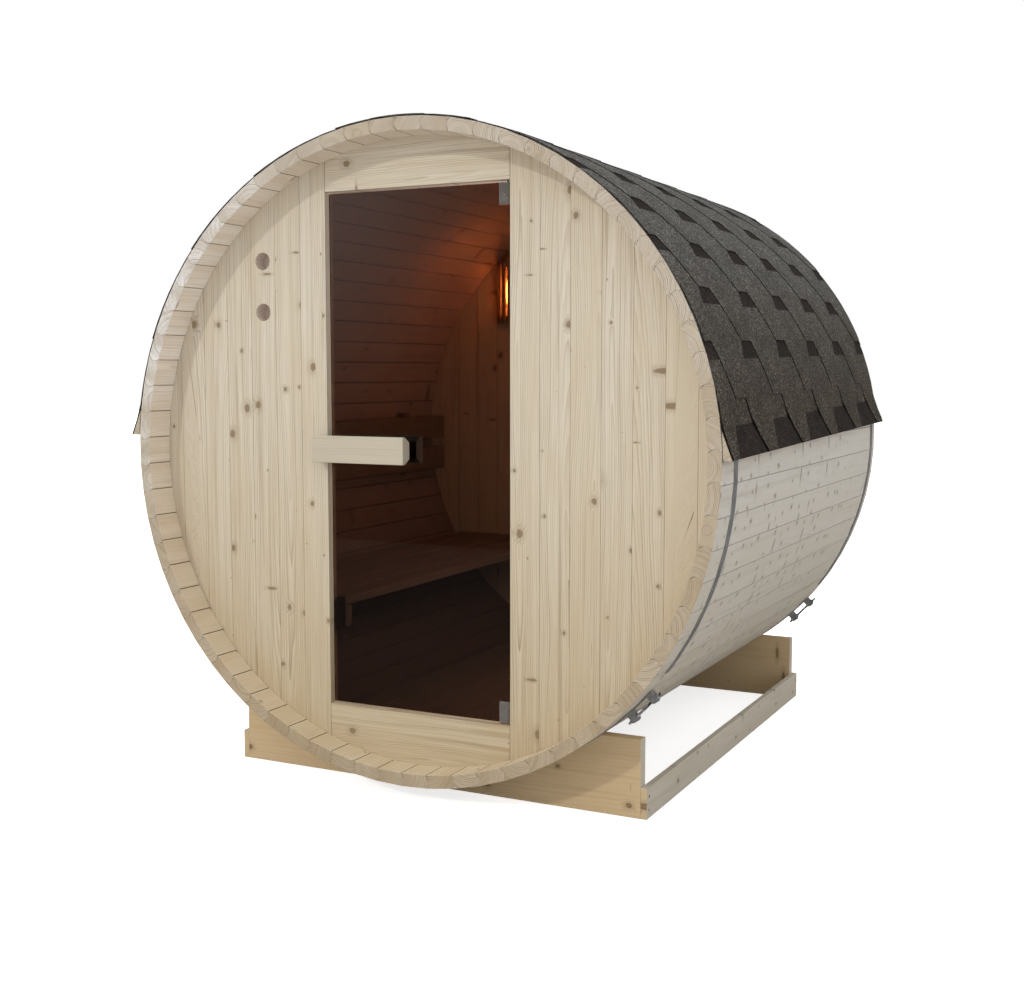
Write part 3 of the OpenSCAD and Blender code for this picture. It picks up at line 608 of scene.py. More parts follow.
def model_stave():
    """A stave with a bead on its upper edge, a cove on its lower edge and a groove for each end wall."""
    middle = SHELL_R - STAVE_T / 2
    wide = 2 * SHELL_R * math.tan(HALF_PITCH) - JOINT_GAP
    narrow = 2 * INNER_R * math.tan(HALF_PITCH) - JOINT_GAP
    piece = block((INNER_R, FRONT_Y, -wide / 2), (SHELL_R, REAR_Y, wide / 2))
    edit(piece, "VERT")
    pick(piece, "verts", lambda v: v.co.x < middle)
    bpy.ops.transform.resize(value=(1, 1, narrow / wide), center_override=(INNER_R, 0, 0))
    for reach, rise in BEAD_STEPS:
        for x in {middle - reach, middle + reach}:
            slice_at(piece, (x, 0, 0), (1, 0, 0))
        pick(piece, "verts", lambda v: abs(abs(v.co.x - middle) - reach) < 0.0003)
        bpy.ops.transform.translate(value=(0, 0, rise))
    done()
    for y0 in (FRONT_WALL_Y, BACK_WALL_Y):
        cut(piece, drum(CROZE_R, y0 - JOINT_GAP, y0 + WALL_T + JOINT_GAP, z=0.0, sides=360))
    ease(piece, 0.0014, 2, 50, clamp=False)
    return piece


def stave_face(face):
    """Which finish a face of the stave takes: outside, end, inside, or the eased edge of a joint; the inside
    takes a pale copy, painted light, at the shell's open ends and a dark copy, painted shade, within the
    room.
    """
    if abs(face.normal.y) > 0.6 and abs(abs(face.center.y) - REAR_Y) < 0.003:
        return 1
    if face.normal.x < -0.3 or face.center.x < INNER_R + 0.012:
        if FRONT_IN_Y < face.center.y < BACK_WALL_Y:
            return 5 if abs(face.normal.z) > 0.15 else 4
        return 6 if abs(face.normal.z) > 0.15 else 2
    if face.center.x > SHELL_R - 0.002 and abs(face.normal.z) > 0.15:
        return 3
    return 0


def stave_tone_with_glare(turn):
    """The tone of a stave, with painted glare: palest at the upper left, where the light washes the rim out,
    warmer elsewhere.
    """
    away = abs((turn - GLARE_TURN + math.pi) % (2 * math.pi) - math.pi)
    share = min(1.0, away / GLARE_SPREAD)
    return 0.02 + 0.72 * share * share * (3 - 2 * share) + 0.20 * tones.random()


def build_shell():
    stave = model_stave()
    paint(stave, stave_side_cool_lit, stave_end, stave_reveal_lit, stave_joint_dirt_and_shade, stave_room_shaded, room_joint_dirt_and_shade,
          reveal_joint_dirt_and_shade)
    for face in stave.data.polygons:
        face.material_index = stave_face(face)
    middle = SHELL_R - STAVE_T / 2
    lay_grain(stave, lambda co: (0.5, co.z, co.x - middle, co.y))
    names = ("right", "upper_right", "top_right", "top_left", "upper_left", "left", "lower_left",
             "bottom_left", "bottom_right", "lower_right")
    for group, name in enumerate(names):
        first = group * 7 - 3
        copies = []
        for number in range(first, first + 7):
            turn = number * 2 * HALF_PITCH
            copy = twin(stave, round_shell(turn))
            shade = stave_tone_with_glare(turn)
            for value in copy.data.attributes["tone"].data:
                value.value = shade
            copies.append(copy)
        piece = joined(copies, "shell_" + name)
        place(piece, "sauna", "stave_wood", name + "_staves")
    bpy.data.objects.remove(stave)


# End walls


def wall_boards(edges, y0, name, shades=None):
    """Upright boards between pairs of x, cut round at their ends: one piece, with a tone for each board."""
    z0 = AXIS_Z - WALL_R - 0.01
    z1 = AXIS_Z + WALL_R + 0.01
    piece = joined([block((a, y0, z0), (b, y0 + WALL_T, z1)) for a, b in edges], name)
    keep_round(piece, WALL_R, y0, y0 + WALL_T)
    ease(piece, BOARD_EASE)
    shades = shades or [tones.random() for _ in edges]

    def where(co):
        number = min(range(len(edges)), key=lambda i: abs(co.x - sum(edges[i]) / 2))
        return (shades[number], co.x - sum(edges[number]) / 2, co.y - y0 - WALL_T / 2, co.z)

    lay_grain(piece, where)
    mark_joints(piece)
    return piece


def mark_joints(piece):
    """Gives the eased edges on a wall's faces the dark tone of a joint: dirt, and painted shade in the
    groove.
    """
    for face in piece.data.polygons:
        face.material_index = 1 if 0.2 < abs(face.normal.y) < 0.97 else 0


def side_edges(side, places):
    """The edges of the boards beside the doorway, counted from it, on the right (1) or the left (-1)."""
    found = []
    for number in places:
        near = DOOR_HALF + number * BOARD_W
        far = WALL_R if number == 6 else near + BOARD_W - JOINT_GAP
        found.append((near, far) if side > 0 else (-far, -near))
    return found


def doorway_bar(z0, z1, name):
    """Header or sill: one board across the doorway, cut round by the shell."""
    x = DOOR_HALF - JOINT_GAP
    piece = block((-x, FRONT_WALL_Y, AXIS_Z + z0), (x, FRONT_IN_Y, AXIS_Z + z1))
    keep_round(piece, WALL_R, FRONT_WALL_Y, FRONT_IN_Y)
    ease(piece, BOARD_EASE)
    one_board(piece, 2, 0, 0.12)
    mark_joints(piece)
    piece.name = name
    return piece


def build_end_walls():
    right = wall_boards(side_edges(1, range(7)), FRONT_WALL_Y, "front_boards_right",
                        (0.31, 0.22, 0.62, 0.08, 0.35, 0.97, 0.76))
    left = wall_boards(side_edges(-1, (0, 1, 3, 4, 5, 6)), FRONT_WALL_Y, "front_boards_left",
                       (0.17, 0.43, 0.28, 0.11, 0.25, 0.20))
    edges = side_edges(-1, (2,))
    vent = block((edges[0][0], FRONT_WALL_Y, AXIS_Z - 0.97), (edges[0][1], FRONT_IN_Y, AXIS_Z + 0.97))
    keep_round(vent, WALL_R, FRONT_WALL_Y, FRONT_IN_Y)
    for height in VENT_HEIGHTS:
        cut(vent, drum(VENT_D / 2, FRONT_WALL_Y - 0.02, FRONT_IN_Y + 0.02, VENT_X, AXIS_Z + height, 48))
    ease(vent, BOARD_EASE)
    one_board(vent, 0, 2, 0.055)
    mark_joints(vent)
    # The bores' faces take the paler finish: painted light in the holes
    for face in vent.data.polygons:
        if abs(face.center.x - VENT_X) < VENT_D / 2 + 0.001 and abs(face.normal.y) < 0.2:
            face.material_index = 2
    vent.name = "vent_board"
    header = doorway_bar(DOOR_TOP, WALL_R + 0.01, "header_board")
    sill = doorway_bar(-WALL_R - 0.01, DOOR_BOTTOM, "sill_board")
    for piece, node in ((right, "front_wall_right"), (left, "front_wall_left"), (vent, "front_vent_board"),
                        (header, "door_header"), (sill, "door_sill")):
        paint(piece, front_spruce, front_joint_dirt_and_shade, vent_spruce_brightened)
        place(piece, "sauna", "wall_wood", node)

    edges = [(max((i - 0.5) * BOARD_W, -WALL_R), min((i + 0.5) * BOARD_W - JOINT_GAP, WALL_R))
             for i in range(-10, 11)]
    for part, name in ((edges[:7], "left"), (edges[7:14], "middle"), (edges[14:], "right")):
        piece = wall_boards(part, BACK_WALL_Y, "back_boards_" + name)
        paint(piece, back_spruce, front_joint_dirt_and_shade)
        place(piece, "sauna", "wall_wood", "back_wall_" + name)

    z0 = AXIS_Z + VENT_HEIGHTS[0] - 0.060
    z1 = AXIS_Z + VENT_HEIGHTS[1] + 0.060
    parts = []
    for x0, x1 in ((-0.042, 0.042), (0.0423, 0.0623), (-0.0623, -0.0423)):
        parts.append(board((VENT_X + x0, FRONT_IN_Y, z0), (VENT_X + x1, FRONT_IN_Y + 0.016, z1), 0, 2))
    slide = joined(parts, "vent_shutter")
    paint(slide, vent_spruce_brightened)
    place(slide, "sauna", "wall_wood", "vent_slide")


# Hoops and their tension bolts


def at_tensioner(y):
    """Local X runs along the bolt, local Z away from the shell."""
    return Matrix.Translation((0, y, AXIS_Z)) @ Matrix.Rotation(math.pi / 2 + TENSION_ANGLE, 4, "Y")


def model_hoop():
    """A flat band round the shell, open at the tensioner, spun from its own section."""
    gap = 2 * math.atan(LUG_X / BOLT_LIFT)
    piece = start("plane", size=1.0)
    piece.scale = (HOOP_T, HOOP_W, 1)
    piece.location = ((HOOP_IN_R + HOOP_OUT_R) / 2, 0, 0)
    settle(piece)
    edit(piece, "FACE")
    bpy.ops.mesh.select_all(action="SELECT")
    bpy.ops.mesh.spin(steps=240, angle=2 * math.pi - gap, center=(0, 0, 0), axis=(0, -1, 0))
    bpy.ops.mesh.select_all(action="SELECT")
    bpy.ops.mesh.normals_make_consistent(inside=False)
    done()
    take(piece)
    bpy.ops.object.shade_smooth_by_angle(angle=math.radians(30))
    piece.data.transform(Matrix.Rotation(TENSION_ANGLE - gap / 2, 4, "Y"))
    return piece


def hex_nut(x, width, thick, lift):
    """A hexagon nut or bolt head on the bolt, with turned-down corners and a raised face."""
    piece = rod(width / 2, thick, (x, 0, lift), 6)
    edit(piece)
    pick(piece, "faces", lambda face: abs(face.normal.x) > 0.9)
    bpy.ops.mesh.inset(thickness=width * 0.1)
    bpy.ops.mesh.inset(thickness=width * 0.04, depth=0.0006, use_individual=True)
    done()
    ease(piece, 0.0005, 1, 25)
    return piece


def washer(x, lift):
    piece = rod(0.0092, 0.0016, (x, 0, lift), 24)
    ease(piece, 0.0004)
    return piece


def model_lug(side, lift):
    """The band's end, folded back round a cross pin."""
    x = side * LUG_X
    loop = drum(0.011, -HOOP_W / 2, HOOP_W / 2, x, lift, 32)
    edit(loop)
    pick(loop, "faces", lambda face: abs(face.normal.y) > 0.9)
    bpy.ops.mesh.inset(thickness=0.0020)
    bpy.ops.mesh.inset(thickness=0.0008, depth=-0.0016, use_individual=True)
    bpy.ops.mesh.extrude_region_shrink_fatten(TRANSFORM_OT_shrink_fatten={"value": 0.0042})
    done()
    ease(loop, 0.0005, 2, 30)
    foot = block((x - 0.011, -HOOP_W / 2, HOOP_IN_R - 0.0002), (x + 0.011, HOOP_W / 2, lift))
    edit(foot)
    pick(foot, "faces", lambda face: face.normal.z > 0.9)
    bpy.ops.transform.resize(value=(0.9, 1, 1))
    done()
    ease(foot, 0.0009)
    return [loop, foot]


def model_bolt(lift):
    """Threaded bolt: one turn of the thread is shaped and repeated along it."""
    end = (BOLT_END, 0, lift)
    piece = rod(0.0034, THREAD, end, 16, end_fill_type="NOTHING")
    edit(piece)
    slice_at(piece, end, (1, 0, 0))
    bpy.ops.mesh.select_mode(type="VERT")
    pick(piece, "verts", lambda v: abs(v.co.x - BOLT_END) < 0.0001)
    bpy.ops.transform.resize(value=(1, 1.18, 1.18), center_override=end)
    done()
    repeat(piece, 112, (THREAD, 0, 0), 0.00005)
    edit(piece, "EDGE")
    bpy.ops.mesh.select_non_manifold()
    bpy.ops.mesh.edge_face_add()
    done()
    return piece


def build_hoops():
    lift = BOLT_LIFT
    band = model_hoop()
    lugs = model_lug(-1, lift) + model_lug(1, lift)
    bolt = [model_bolt(lift), hex_nut(-0.0556, 0.0150, 0.0052, lift), hex_nut(0.0556, 0.0150, 0.0052, lift),
            washer(-0.0538, lift), washer(0.0538, lift), hex_nut(0.0297, 0.0150, 0.0045, lift)]
    for name, y in (("front", FRONT_Y + 0.120), ("rear", REAR_Y - 0.064)):
        parts = [twin(band, Matrix.Translation((0, y, AXIS_Z)))]
        parts += [twin(lug, at_tensioner(y)) for lug in lugs]
        hoop = joined(parts, name + "_band")
        paint(hoop, hoop_steel)
        place(hoop, "sauna", "band_steel", name + "_hoop")
        screw = joined([twin(part, at_tensioner(y)) for part in bolt], name + "_tension_bolt")
        paint(screw, bolt_steel_glints)
        place(screw, "sauna", "band_steel", name + "_tensioner")
    for piece in [band] + lugs + bolt:
        bpy.data.objects.remove(piece)


# Roof: strips of hexagonal tabs, flat first, then bent to the shell


def flat_sheet(up, along, middle=0.0):
    """A plain sheet in the plane of Y and Z: up the slope along Z, with X pointing out of the roof."""
    piece = start("plane", size=1.0, rotation=(0, math.pi / 2, 0))
    piece.scale = (up, along, 1)
    piece.location = (0, 0, middle)
    settle(piece)
    return piece


def flat_strip(first_tab):
    """A strip of tabs, with a painted shadow line along the front edge of each."""
    piece = flat_sheet(COURSE, TAB_PITCH - TAB_FOOT, COURSE / 2)
    edit(piece, "EDGE")
    pick(piece, "edges", lambda edge: max(v.co.z for v in edge.verts) < 0.001)
    bpy.ops.transform.resize(value=(1, TAB_FOOT / (TAB_PITCH - TAB_FOOT), 1))
    pick(piece, "edges", lambda edge: min(v.co.z for v in edge.verts) > COURSE - 0.001)
    bpy.ops.mesh.extrude_region_move(TRANSFORM_OT_translate={"value": (0, 0, 0.004)})
    bpy.ops.transform.resize(value=(1, TAB_PITCH / (TAB_PITCH - TAB_FOOT), 1))
    bpy.ops.mesh.extrude_region_move(TRANSFORM_OT_translate={"value": (0, 0, DARK_BAND - COURSE - 0.004)})
    bpy.ops.mesh.extrude_region_move(TRANSFORM_OT_translate={"value": (0, 0, SHEET_TOP - DARK_BAND)})
    for share in (1 / 3, 2 / 3, 4 / 3, 1.8):
        slice_at(piece, (0, 0, COURSE * share), (0, 0, 1))
    done()
    piece.data.transform(Matrix.Translation((0, FRONT_Y + first_tab - TAB_PITCH, 0)))
    repeat(piece, 8, (0, TAB_PITCH, 0), 0.0002)
    edit(piece)
    slice_at(piece, (0, FRONT_Y, 0), (0, 1, 0), "above")
    slice_at(piece, (0, REAR_Y, 0), (0, 1, 0), "below")
    for row in ROOF_ROWS:
        slice_at(piece, (0, FRONT_Y + row, 0), (0, 1, 0))
    bpy.ops.mesh.select_all(action="SELECT")
    bpy.ops.mesh.delete_loose()
    bpy.ops.mesh.select_all(action="SELECT")
    bpy.ops.mesh.inset(thickness=TAB_SHADOW_W, use_boundary=True, use_even_offset=True)
    done()
    # Painted shadow: the inset rim on the front side of each tab takes the near-black finish
    for face in piece.data.polygons:
        step = (face.center.y - FRONT_Y - first_tab) % TAB_PITCH
        if not face.select and step > TAB_PITCH / 2 and face.center.z < COURSE:
            face.material_index = 3
    return piece


def roof_finish(piece):
    paint(piece, roof_granules, dark_granules, sheet_edge, tab_edge_shadow)


def thicken(piece):
    """Gives a flat strip its thickness, with a dark cut edge, and darkens its upper band."""
    roof_finish(piece)
    modify(piece, "SOLIDIFY", thickness=SHEET_T * 0.96, offset=1.0, material_offset_rim=2,
           use_even_offset=True)
    for face in piece.data.polygons:
        if face.center.z > DARK_BAND:
            face.material_index = 1


def droop(piece, sink):
    """Lets the free edge of the roof sink onto the ends of the staves at the front."""
    for point in piece.data.vertices:
        share = max(0.0, 1.0 - (point.co.y - FRONT_Y) / ROOF_ROWS[-1])
        spot = point.co - Vector((0, point.co.y, AXIS_Z))
        point.co -= spot.normalized() * sink * share * share


def bend(piece, low, high):
    """Bends a strip that lies from low to high over the shell's round; under 0 it stays straight."""
    modify(piece, "SIMPLE_DEFORM", deform_method="BEND", deform_axis="Y", angle=-high / ROOF_R,
           limits=(-low / (high - low), 1.0))


def tilt(piece):
    """Lifts the lower edge of a strip, so that it lies on the course under it."""
    for point in piece.data.vertices:
        point.co.x += 2 * SHEET_T * (2 * COURSE - point.co.z) / (2 * COURSE)


def kink(piece):
    """Turns the straight foot of an eave strip out to the batten's face."""
    for point in piece.data.vertices:
        if point.co.z < -0.0005:
            point.co = Matrix.Rotation(-FLARE_KINK, 4, "Y") @ point.co


def lay_on_shell(piece, reach, length):
    """Bends a strip over the round; what reaches below it stays straight and flares out."""
    bend(piece, -reach, length - reach)
    if reach:
        kink(piece)
    piece.data.transform(Matrix.Translation((ROOF_R, 0, 0)))


def model_course(first_tab, reach=0.0):
    """One course of tabs; the lowest reaches out over the eave batten."""
    strip = flat_strip(first_tab)
    thicken(strip)
    tilt(strip)
    strip.data.transform(Matrix.Translation((0, 0, -reach)))
    lay_on_shell(strip, reach, SHEET_TOP)
    return strip


def model_starter():
    """The plain dark strip along the eave that shows between the tabs of the first course."""
    piece = flat_sheet(STARTER_W, SHELL_LEN, STARTER_W / 2 - EAVE_REACH)
    edit(piece)
    for z in (-0.045, 0.0, 0.035, 0.07):
        slice_at(piece, (0, 0, z), (0, 0, 1))
    done()
    paint(piece, roof_granules, dark_granules)
    modify(piece, "SOLIDIFY", thickness=0.0020, offset=1.0, material_offset_rim=1)
    for face in piece.data.polygons:
        if face.center.z < -0.001:
            face.material_index = 1
    lay_on_shell(piece, EAVE_REACH, STARTER_W)
    return piece


def trim_at_ridge(piece):
    """Cuts a strip off just before the top of the shell."""
    edit(piece)
    slice_at(piece, (0.002, 0, 0), (1, 0, 0), "above")
    done()


def skew(piece, slope):
    """Lays a piece of the roof a little askew, lower at the front on the right side."""
    for point in piece.data.vertices:
        turn = Matrix.Rotation(-slope * point.co.y / ROOF_R, 3, "Y")
        spot = point.co - Vector((0, 0, AXIS_Z))
        point.co = turn @ spot + Vector((0, 0, AXIS_Z))


def build_slopes():
    pair = (model_course(TAB_START), model_course(TAB_START + TAB_PITCH / 2))
    parts = [model_starter(), model_course(TAB_START, EAVE_REACH)]
    for part in parts:
        part.data.transform(round_shell(FLARE_TURN))
    for number in range(8):
        strip = twin(pair[(number + 1) % 2], round_shell(FIRST_BUTT + number * COURSE_TURN))
        if number == 7:
            trim_at_ridge(strip)
        parts.append(strip)
    for strip in pair:
        bpy.data.objects.remove(strip)
    right = joined(parts, "shingles_right")
    take(right)
    bpy.ops.object.shade_smooth_by_angle(angle=math.radians(20))
    left = mirrored(right)
    left.name = "shingles_left"
    skew(right, ROOF_SKEW)
    skew(left, ROOF_SKEW * 0.4)
    droop(right, 0.0016)
    droop(left, 0.0016)
    place(right, "sauna", "shingles", "right_roof_shingles")
    place(left, "sauna", "shingles", "left_roof_shingles")


def build_ridge():
    """Cap pieces that lap each other along the top."""
    long, show, half = 0.262, 0.1395, 0.090
    cap = flat_sheet(2 * half, long)
    edit(cap)
    for z in (-0.06, -0.03, 0.0, 0.03, 0.06):
        slice_at(cap, (0, 0, z), (0, 0, 1))
    for row in ROOF_ROWS:
        slice_at(cap, (0, row - long / 2, 0), (0, 1, 0))
    done()
    roof_finish(cap)
    modify(cap, "SOLIDIFY", thickness=0.0016, offset=1.0, material_offset_rim=2)
    for point in cap.data.vertices:
        point.co.z += half
    modify(cap, "SIMPLE_DEFORM", deform_method="BEND", deform_axis="Y", angle=-2 * half / ROOF_R)
    cap.data.transform(Matrix.Translation((ROOF_R, 0, 0)))
    cap.data.transform(round_shell(math.pi / 2 - half / ROOF_R))
    caps = []
    for number in range(14):
        y = FRONT_Y + long / 2 + number * show
        copy = twin(cap, Matrix.Translation((0, y, 0.0036)))
        for point in copy.data.vertices:
            if number:
                point.co.z += 0.0024 * (0.5 - (point.co.y - y) / long)
        if y + long / 2 > REAR_Y:
            edit(copy)
            slice_at(copy, (0, REAR_Y, 0), (0, 1, 0), "below")
            done()
        caps.append(copy)
    bpy.data.objects.remove(cap)
    ridge = joined(caps, "ridge_caps")
    droop(ridge, 0.0020)
    place(ridge, "sauna", "shingles", "ridge_shingles")


def build_battens():
    """Wedges along the eaves: a block cut to the flare, hollowed by the shell's round."""
    low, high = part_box("right_eave_batten")
    piece = block((low.x - 0.03, FRONT_Y, low.z), (high.x, REAR_Y, high.z))
    edit(piece)
    out = Vector((math.cos(FLARE_TURN + FLARE_KINK), 0, math.sin(FLARE_TURN + FLARE_KINK)))
    slice_at(piece, (high.x, 0, low.z), out, "below")
    done()
    cut(piece, drum(ROOF_R, FRONT_Y - PAST, REAR_Y + PAST, sides=720))
    one_board(piece, 2, 1, 0.86)
    left = mirrored(piece)
    for made, side in ((piece, "right"), (left, "left")):
        made.name = "eave_wedge_" + side
        skew(made, ROOF_SKEW if side == "right" else ROOF_SKEW * 0.4)
        paint(made, stave_end)
        place(made, "sauna", "cradle_wood", side + "_eave_batten")


# Cradle


def build_cradle():
    for name in ("front_bolster", "rear_bolster"):
        low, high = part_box(name)
        piece = block(low, high)
        cut(piece, drum(HOOP_IN_R, low.y - 0.02, high.y + 0.02, sides=360))
        ease(piece, 0.0015)
        one_board(piece, 2, 0)
        piece.name = name + "_beam"
        mark_ends_for_light(piece, 0)
        paint(piece, cradle_timber, rail_timber_side_lit)
        place(piece, "sauna", "cradle_wood", name)
    for name, side in (("right_rail", 1), ("left_rail", -1)):
        low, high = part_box(name)
        piece = board(low, high, 2, 1, 0.0015)
        piece.name = name + "_board"
        mark_ends_for_light(piece, 1)
        paint(piece, rail_timber_side_lit, cradle_timber)
        place(piece, "sauna", "cradle_wood", name)
        screws = []
        face = high.x if side > 0 else low.x
        for y in (low.y + 0.018, high.y - 0.018):
            for z in (0.026, 0.066):
                screws.append(screw_head(face, y, z, side))
        fixings = joined(screws, name + "_screws")
        paint(fixings, bolt_steel_glints)
        place(fixings, "sauna", "band_steel")


def mark_ends_for_light(piece, axis):
    """Gives a beam's two ends its second finish, as painted light: bolster ends facing the right take the
    greyer cool-lit copy, rail ends facing the front the warmer one.
    """
    for face in piece.data.polygons:
        face.material_index = 1 if abs(face.normal[axis]) > 0.9 else 0


def screw_head(x, y, z, side):
    """A countersunk head with a round recess, just proud of the rail."""
    piece = rod(0.0042, 0.0016, (x, y, z), 20)
    edit(piece)
    pick(piece, "faces", lambda face: face.normal.x * side > 0.9)
    bpy.ops.mesh.inset(thickness=0.0012)
    bpy.ops.mesh.inset(thickness=0.0012, depth=-0.0008)
    done()
    ease(piece, 0.0002, 1)
    return piece


# Inside: floor, bench, backrest and lamp


def fit_to_room(parts, name, low, high):
    """Joins boards and cuts them to the round of the room."""
    piece = joined(parts, name)
    keep_round(piece, ROOM_R, low.y, high.y)
    return piece


def set_inside(piece, node):
    paint(piece, bench_alder)
    place(piece, "sauna", "wall_wood", node)


def build_inside():
    low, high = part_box("floor_planks")
    count = round((high.x - low.x + PLANK_PITCH - PLANK_W) / PLANK_PITCH)
    planks = []
    for i in range(count):
        x = low.x + i * PLANK_PITCH
        planks.append(board((x, low.y, low.z), (x + PLANK_W, high.y, high.z), 0, 1, 0.002))
    floor = fit_to_room(planks, "floor_boards", low, high)
    regrain(floor, low.x)
    set_inside(floor, "floor_planks")

    low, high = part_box("floor_bearers")
    middle = (low.y + high.y) / 2
    parts = [board((low.x, y, low.z), (high.x, y + BEARER_W, high.z), 1, 0, 0.002)
             for y in (low.y, middle - BEARER_W / 2, high.y - BEARER_W)]
    bearers = fit_to_room(parts, "floor_joists", low, high)
    one_board(bearers, 1, 0)
    set_inside(bearers, "floor_bearers")

    low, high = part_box("bench_slats")
    count = round((high.x - low.x + SLAT_PITCH - SLAT_W) / SLAT_PITCH)
    slats = []
    for i in range(count):
        x = high.x - i * SLAT_PITCH - SLAT_W
        slats.append(board((x, low.y, low.z), (x + SLAT_W, high.y, high.z), 0, 1, 0.004))
    set_inside(joined(slats, "seat_slats"), "bench_slats")

    low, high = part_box("bench_cleats")
    parts = [board((low.x - 0.02, y, low.z), (high.x, y + CLEAT_T, high.z), 2, 0, 0.003)
             for y in (low.y, high.y - CLEAT_T)]
    cleats = fit_to_room(parts, "seat_cleats", low, high)
    one_board(cleats, 2, 0)
    set_inside(cleats, "bench_cleats")

    low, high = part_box("backrest_boards")
    parts = [board(low, (high.x, high.y, low.z + REST_W), 2, 1, 0.004),
             board((low.x, low.y, high.z - REST_W), high, 2, 1, 0.004)]
    set_inside(joined(parts, "backrest_slats"), "backrest_boards")

    low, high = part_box("backrest_battens")
    half = BATTEN_W / 2
    parts = [board((low.x - 0.01, y - half, low.z), (high.x, y + half, high.z), 1, 2, 0.002)
             for y in (low.y + half, (FRONT_IN_Y + BACK_WALL_Y) / 2, high.y - half)]
    battens = fit_to_room(parts, "backrest_uprights", low, high)
    one_board(battens, 1, 2)
    set_inside(battens, "backrest_battens")


def regrain(piece, x0):
    """Lays the grain of the floor's planks again after a cut."""
    shades = [tones.random() for _ in range(20)]
    low = min(v.co.z for v in piece.data.vertices)

    def where(co):
        number = int((co.x - x0) / PLANK_PITCH + 0.02)
        return (shades[number % 20], co.x - x0 - number * PLANK_PITCH - PLANK_W / 2, co.z - low, co.y)

    lay_grain(piece, where)


def build_lamp():
    """Half-round shade of upright slats on two plates, round a glowing globe on the back wall."""
    low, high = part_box("lamp_shade")
    x, z = (low.x + high.x) / 2, (low.z + high.z) / 2
    plate_r = LAMP_R - LAMP_SLAT_T - JOINT_GAP
    parts = []
    for z0 in (low.z + 0.012, high.z - 0.028):
        plate = rod(plate_r, 0.016, (x, BACK_WALL_Y, z0 + 0.008), 64, (0, 0, 0))
        edit(plate)
        slice_at(plate, (0, BACK_WALL_Y - 0.0002, 0), (0, 1, 0), "below")
        done()
        ease(plate, 0.001)
        one_board(plate, 1, 0)
        parts.append(plate)
    first = math.asin(0.0103 / plate_r)
    turn = (math.pi - 2 * first) / 8
    near = plate_r + JOINT_GAP
    slat = board((near, -0.010, low.z), (near + LAMP_SLAT_T, 0.010, high.z), 1, 2, 0.0015)
    for i in range(9):
        spin = Matrix.Translation((x, BACK_WALL_Y, 0)) @ Matrix.Rotation(-math.pi + first + i * turn, 4, "Z")
        parts.append(twin(slat, spin))
    bpy.data.objects.remove(slat)
    shade = joined(parts, "lamp_slats")
    paint(shade, bench_alder)
    place(shade, "sauna", "cradle_wood", "lamp_shade")

    base = drum(0.038, BACK_WALL_Y - 0.024, BACK_WALL_Y, x, z, 48)
    ease(base, 0.003, 3)
    bulb = start("uv_sphere", segments=40, ring_count=24, radius=0.036, location=(x, BACK_WALL_Y - 0.046, z))
    bulb.scale = (1, 1, 2.5)
    settle(bulb)
    edit(bulb)
    pick(bulb, "faces", lambda face: face.calc_center_median().y > BACK_WALL_Y - 0.022)
    bpy.ops.mesh.extrude_region_move(TRANSFORM_OT_translate={"value": (0, 0.004, 0)})
    done()
    take(bulb)
    bpy.ops.object.shade_smooth()
    globe = joined([bulb, base], "lamp_bulb")
    paint(globe, globe_glow)
    place(globe, "sauna", "lamp_glass", "lamp_globe")


# Door


def build_door():
    low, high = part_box("door_glass")
    pane = block(low, high)
    for z0, z1 in ((high.z - NOTCH_H, high.z + 0.01), (low.z - 0.01, low.z + NOTCH_H)):
        cut(pane, block((NOTCH_X, low.y - 0.01, z0), (high.x + 0.01, high.y + 0.01, z1)))
    ease(pane, 0.0009, 2)
    pane.name = "door_pane"
    paint(pane, door_bronze)
    place(pane, "door", "tinted_glass", "door_glass")

    for node in ("upper_pivot_clip", "lower_pivot_clip"):
        low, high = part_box(node)
        top = node.startswith("upper")
        z0, z1 = (low.z, low.z + CLIP_H) if top else (high.z - CLIP_H, high.z)
        body = clip_body(low, high, z0, z1)
        middle = (PIVOT_X, PIVOT_Y, (low.z + high.z) / 2)
        pin = rod(0.004, high.z - low.z - 0.010, middle, 32, (0, 0, 0))
        ease(pin, 0.0005)
        clip = joined([body, pin], node + "_metal")
        paint(clip, clip_chrome_dark_reflection)
        place(clip, "door", "chrome", node)

    for node, side in (("outer_handle", 1), ("inner_handle", -1)):
        bar = handle_bar(node, side)
        paint(bar, handle_spruce if side > 0 else inner_wood_shaded)
        place(bar, "door", "cradle_wood", node)


def clip_body(low, high, z0, z1):
    """A pivot clip: a block rounded about the pivot, with two round dishes sunk in one face."""
    piece = block((low.x, low.y, z0), (high.x, high.y, z1))
    edit(piece, "EDGE")

    def pivot_edge(edge):
        a, b = edge.verts[0].co, edge.verts[1].co
        return abs(a.z - b.z) > 0.03 and min(a.x, b.x) > high.x - 0.001

    pick(piece, "edges", pivot_edge)
    bpy.ops.mesh.bevel(offset=0.0098, segments=8, affect="EDGES")
    done()
    ease(piece, 0.0011, 3)
    for z in (z0 + 0.016, z1 - 0.016):
        dish = drum(0.0048, high.y - 0.0012, high.y + 0.01, low.x + 0.0125, z, 24)
        cut(piece, dish)
    return piece


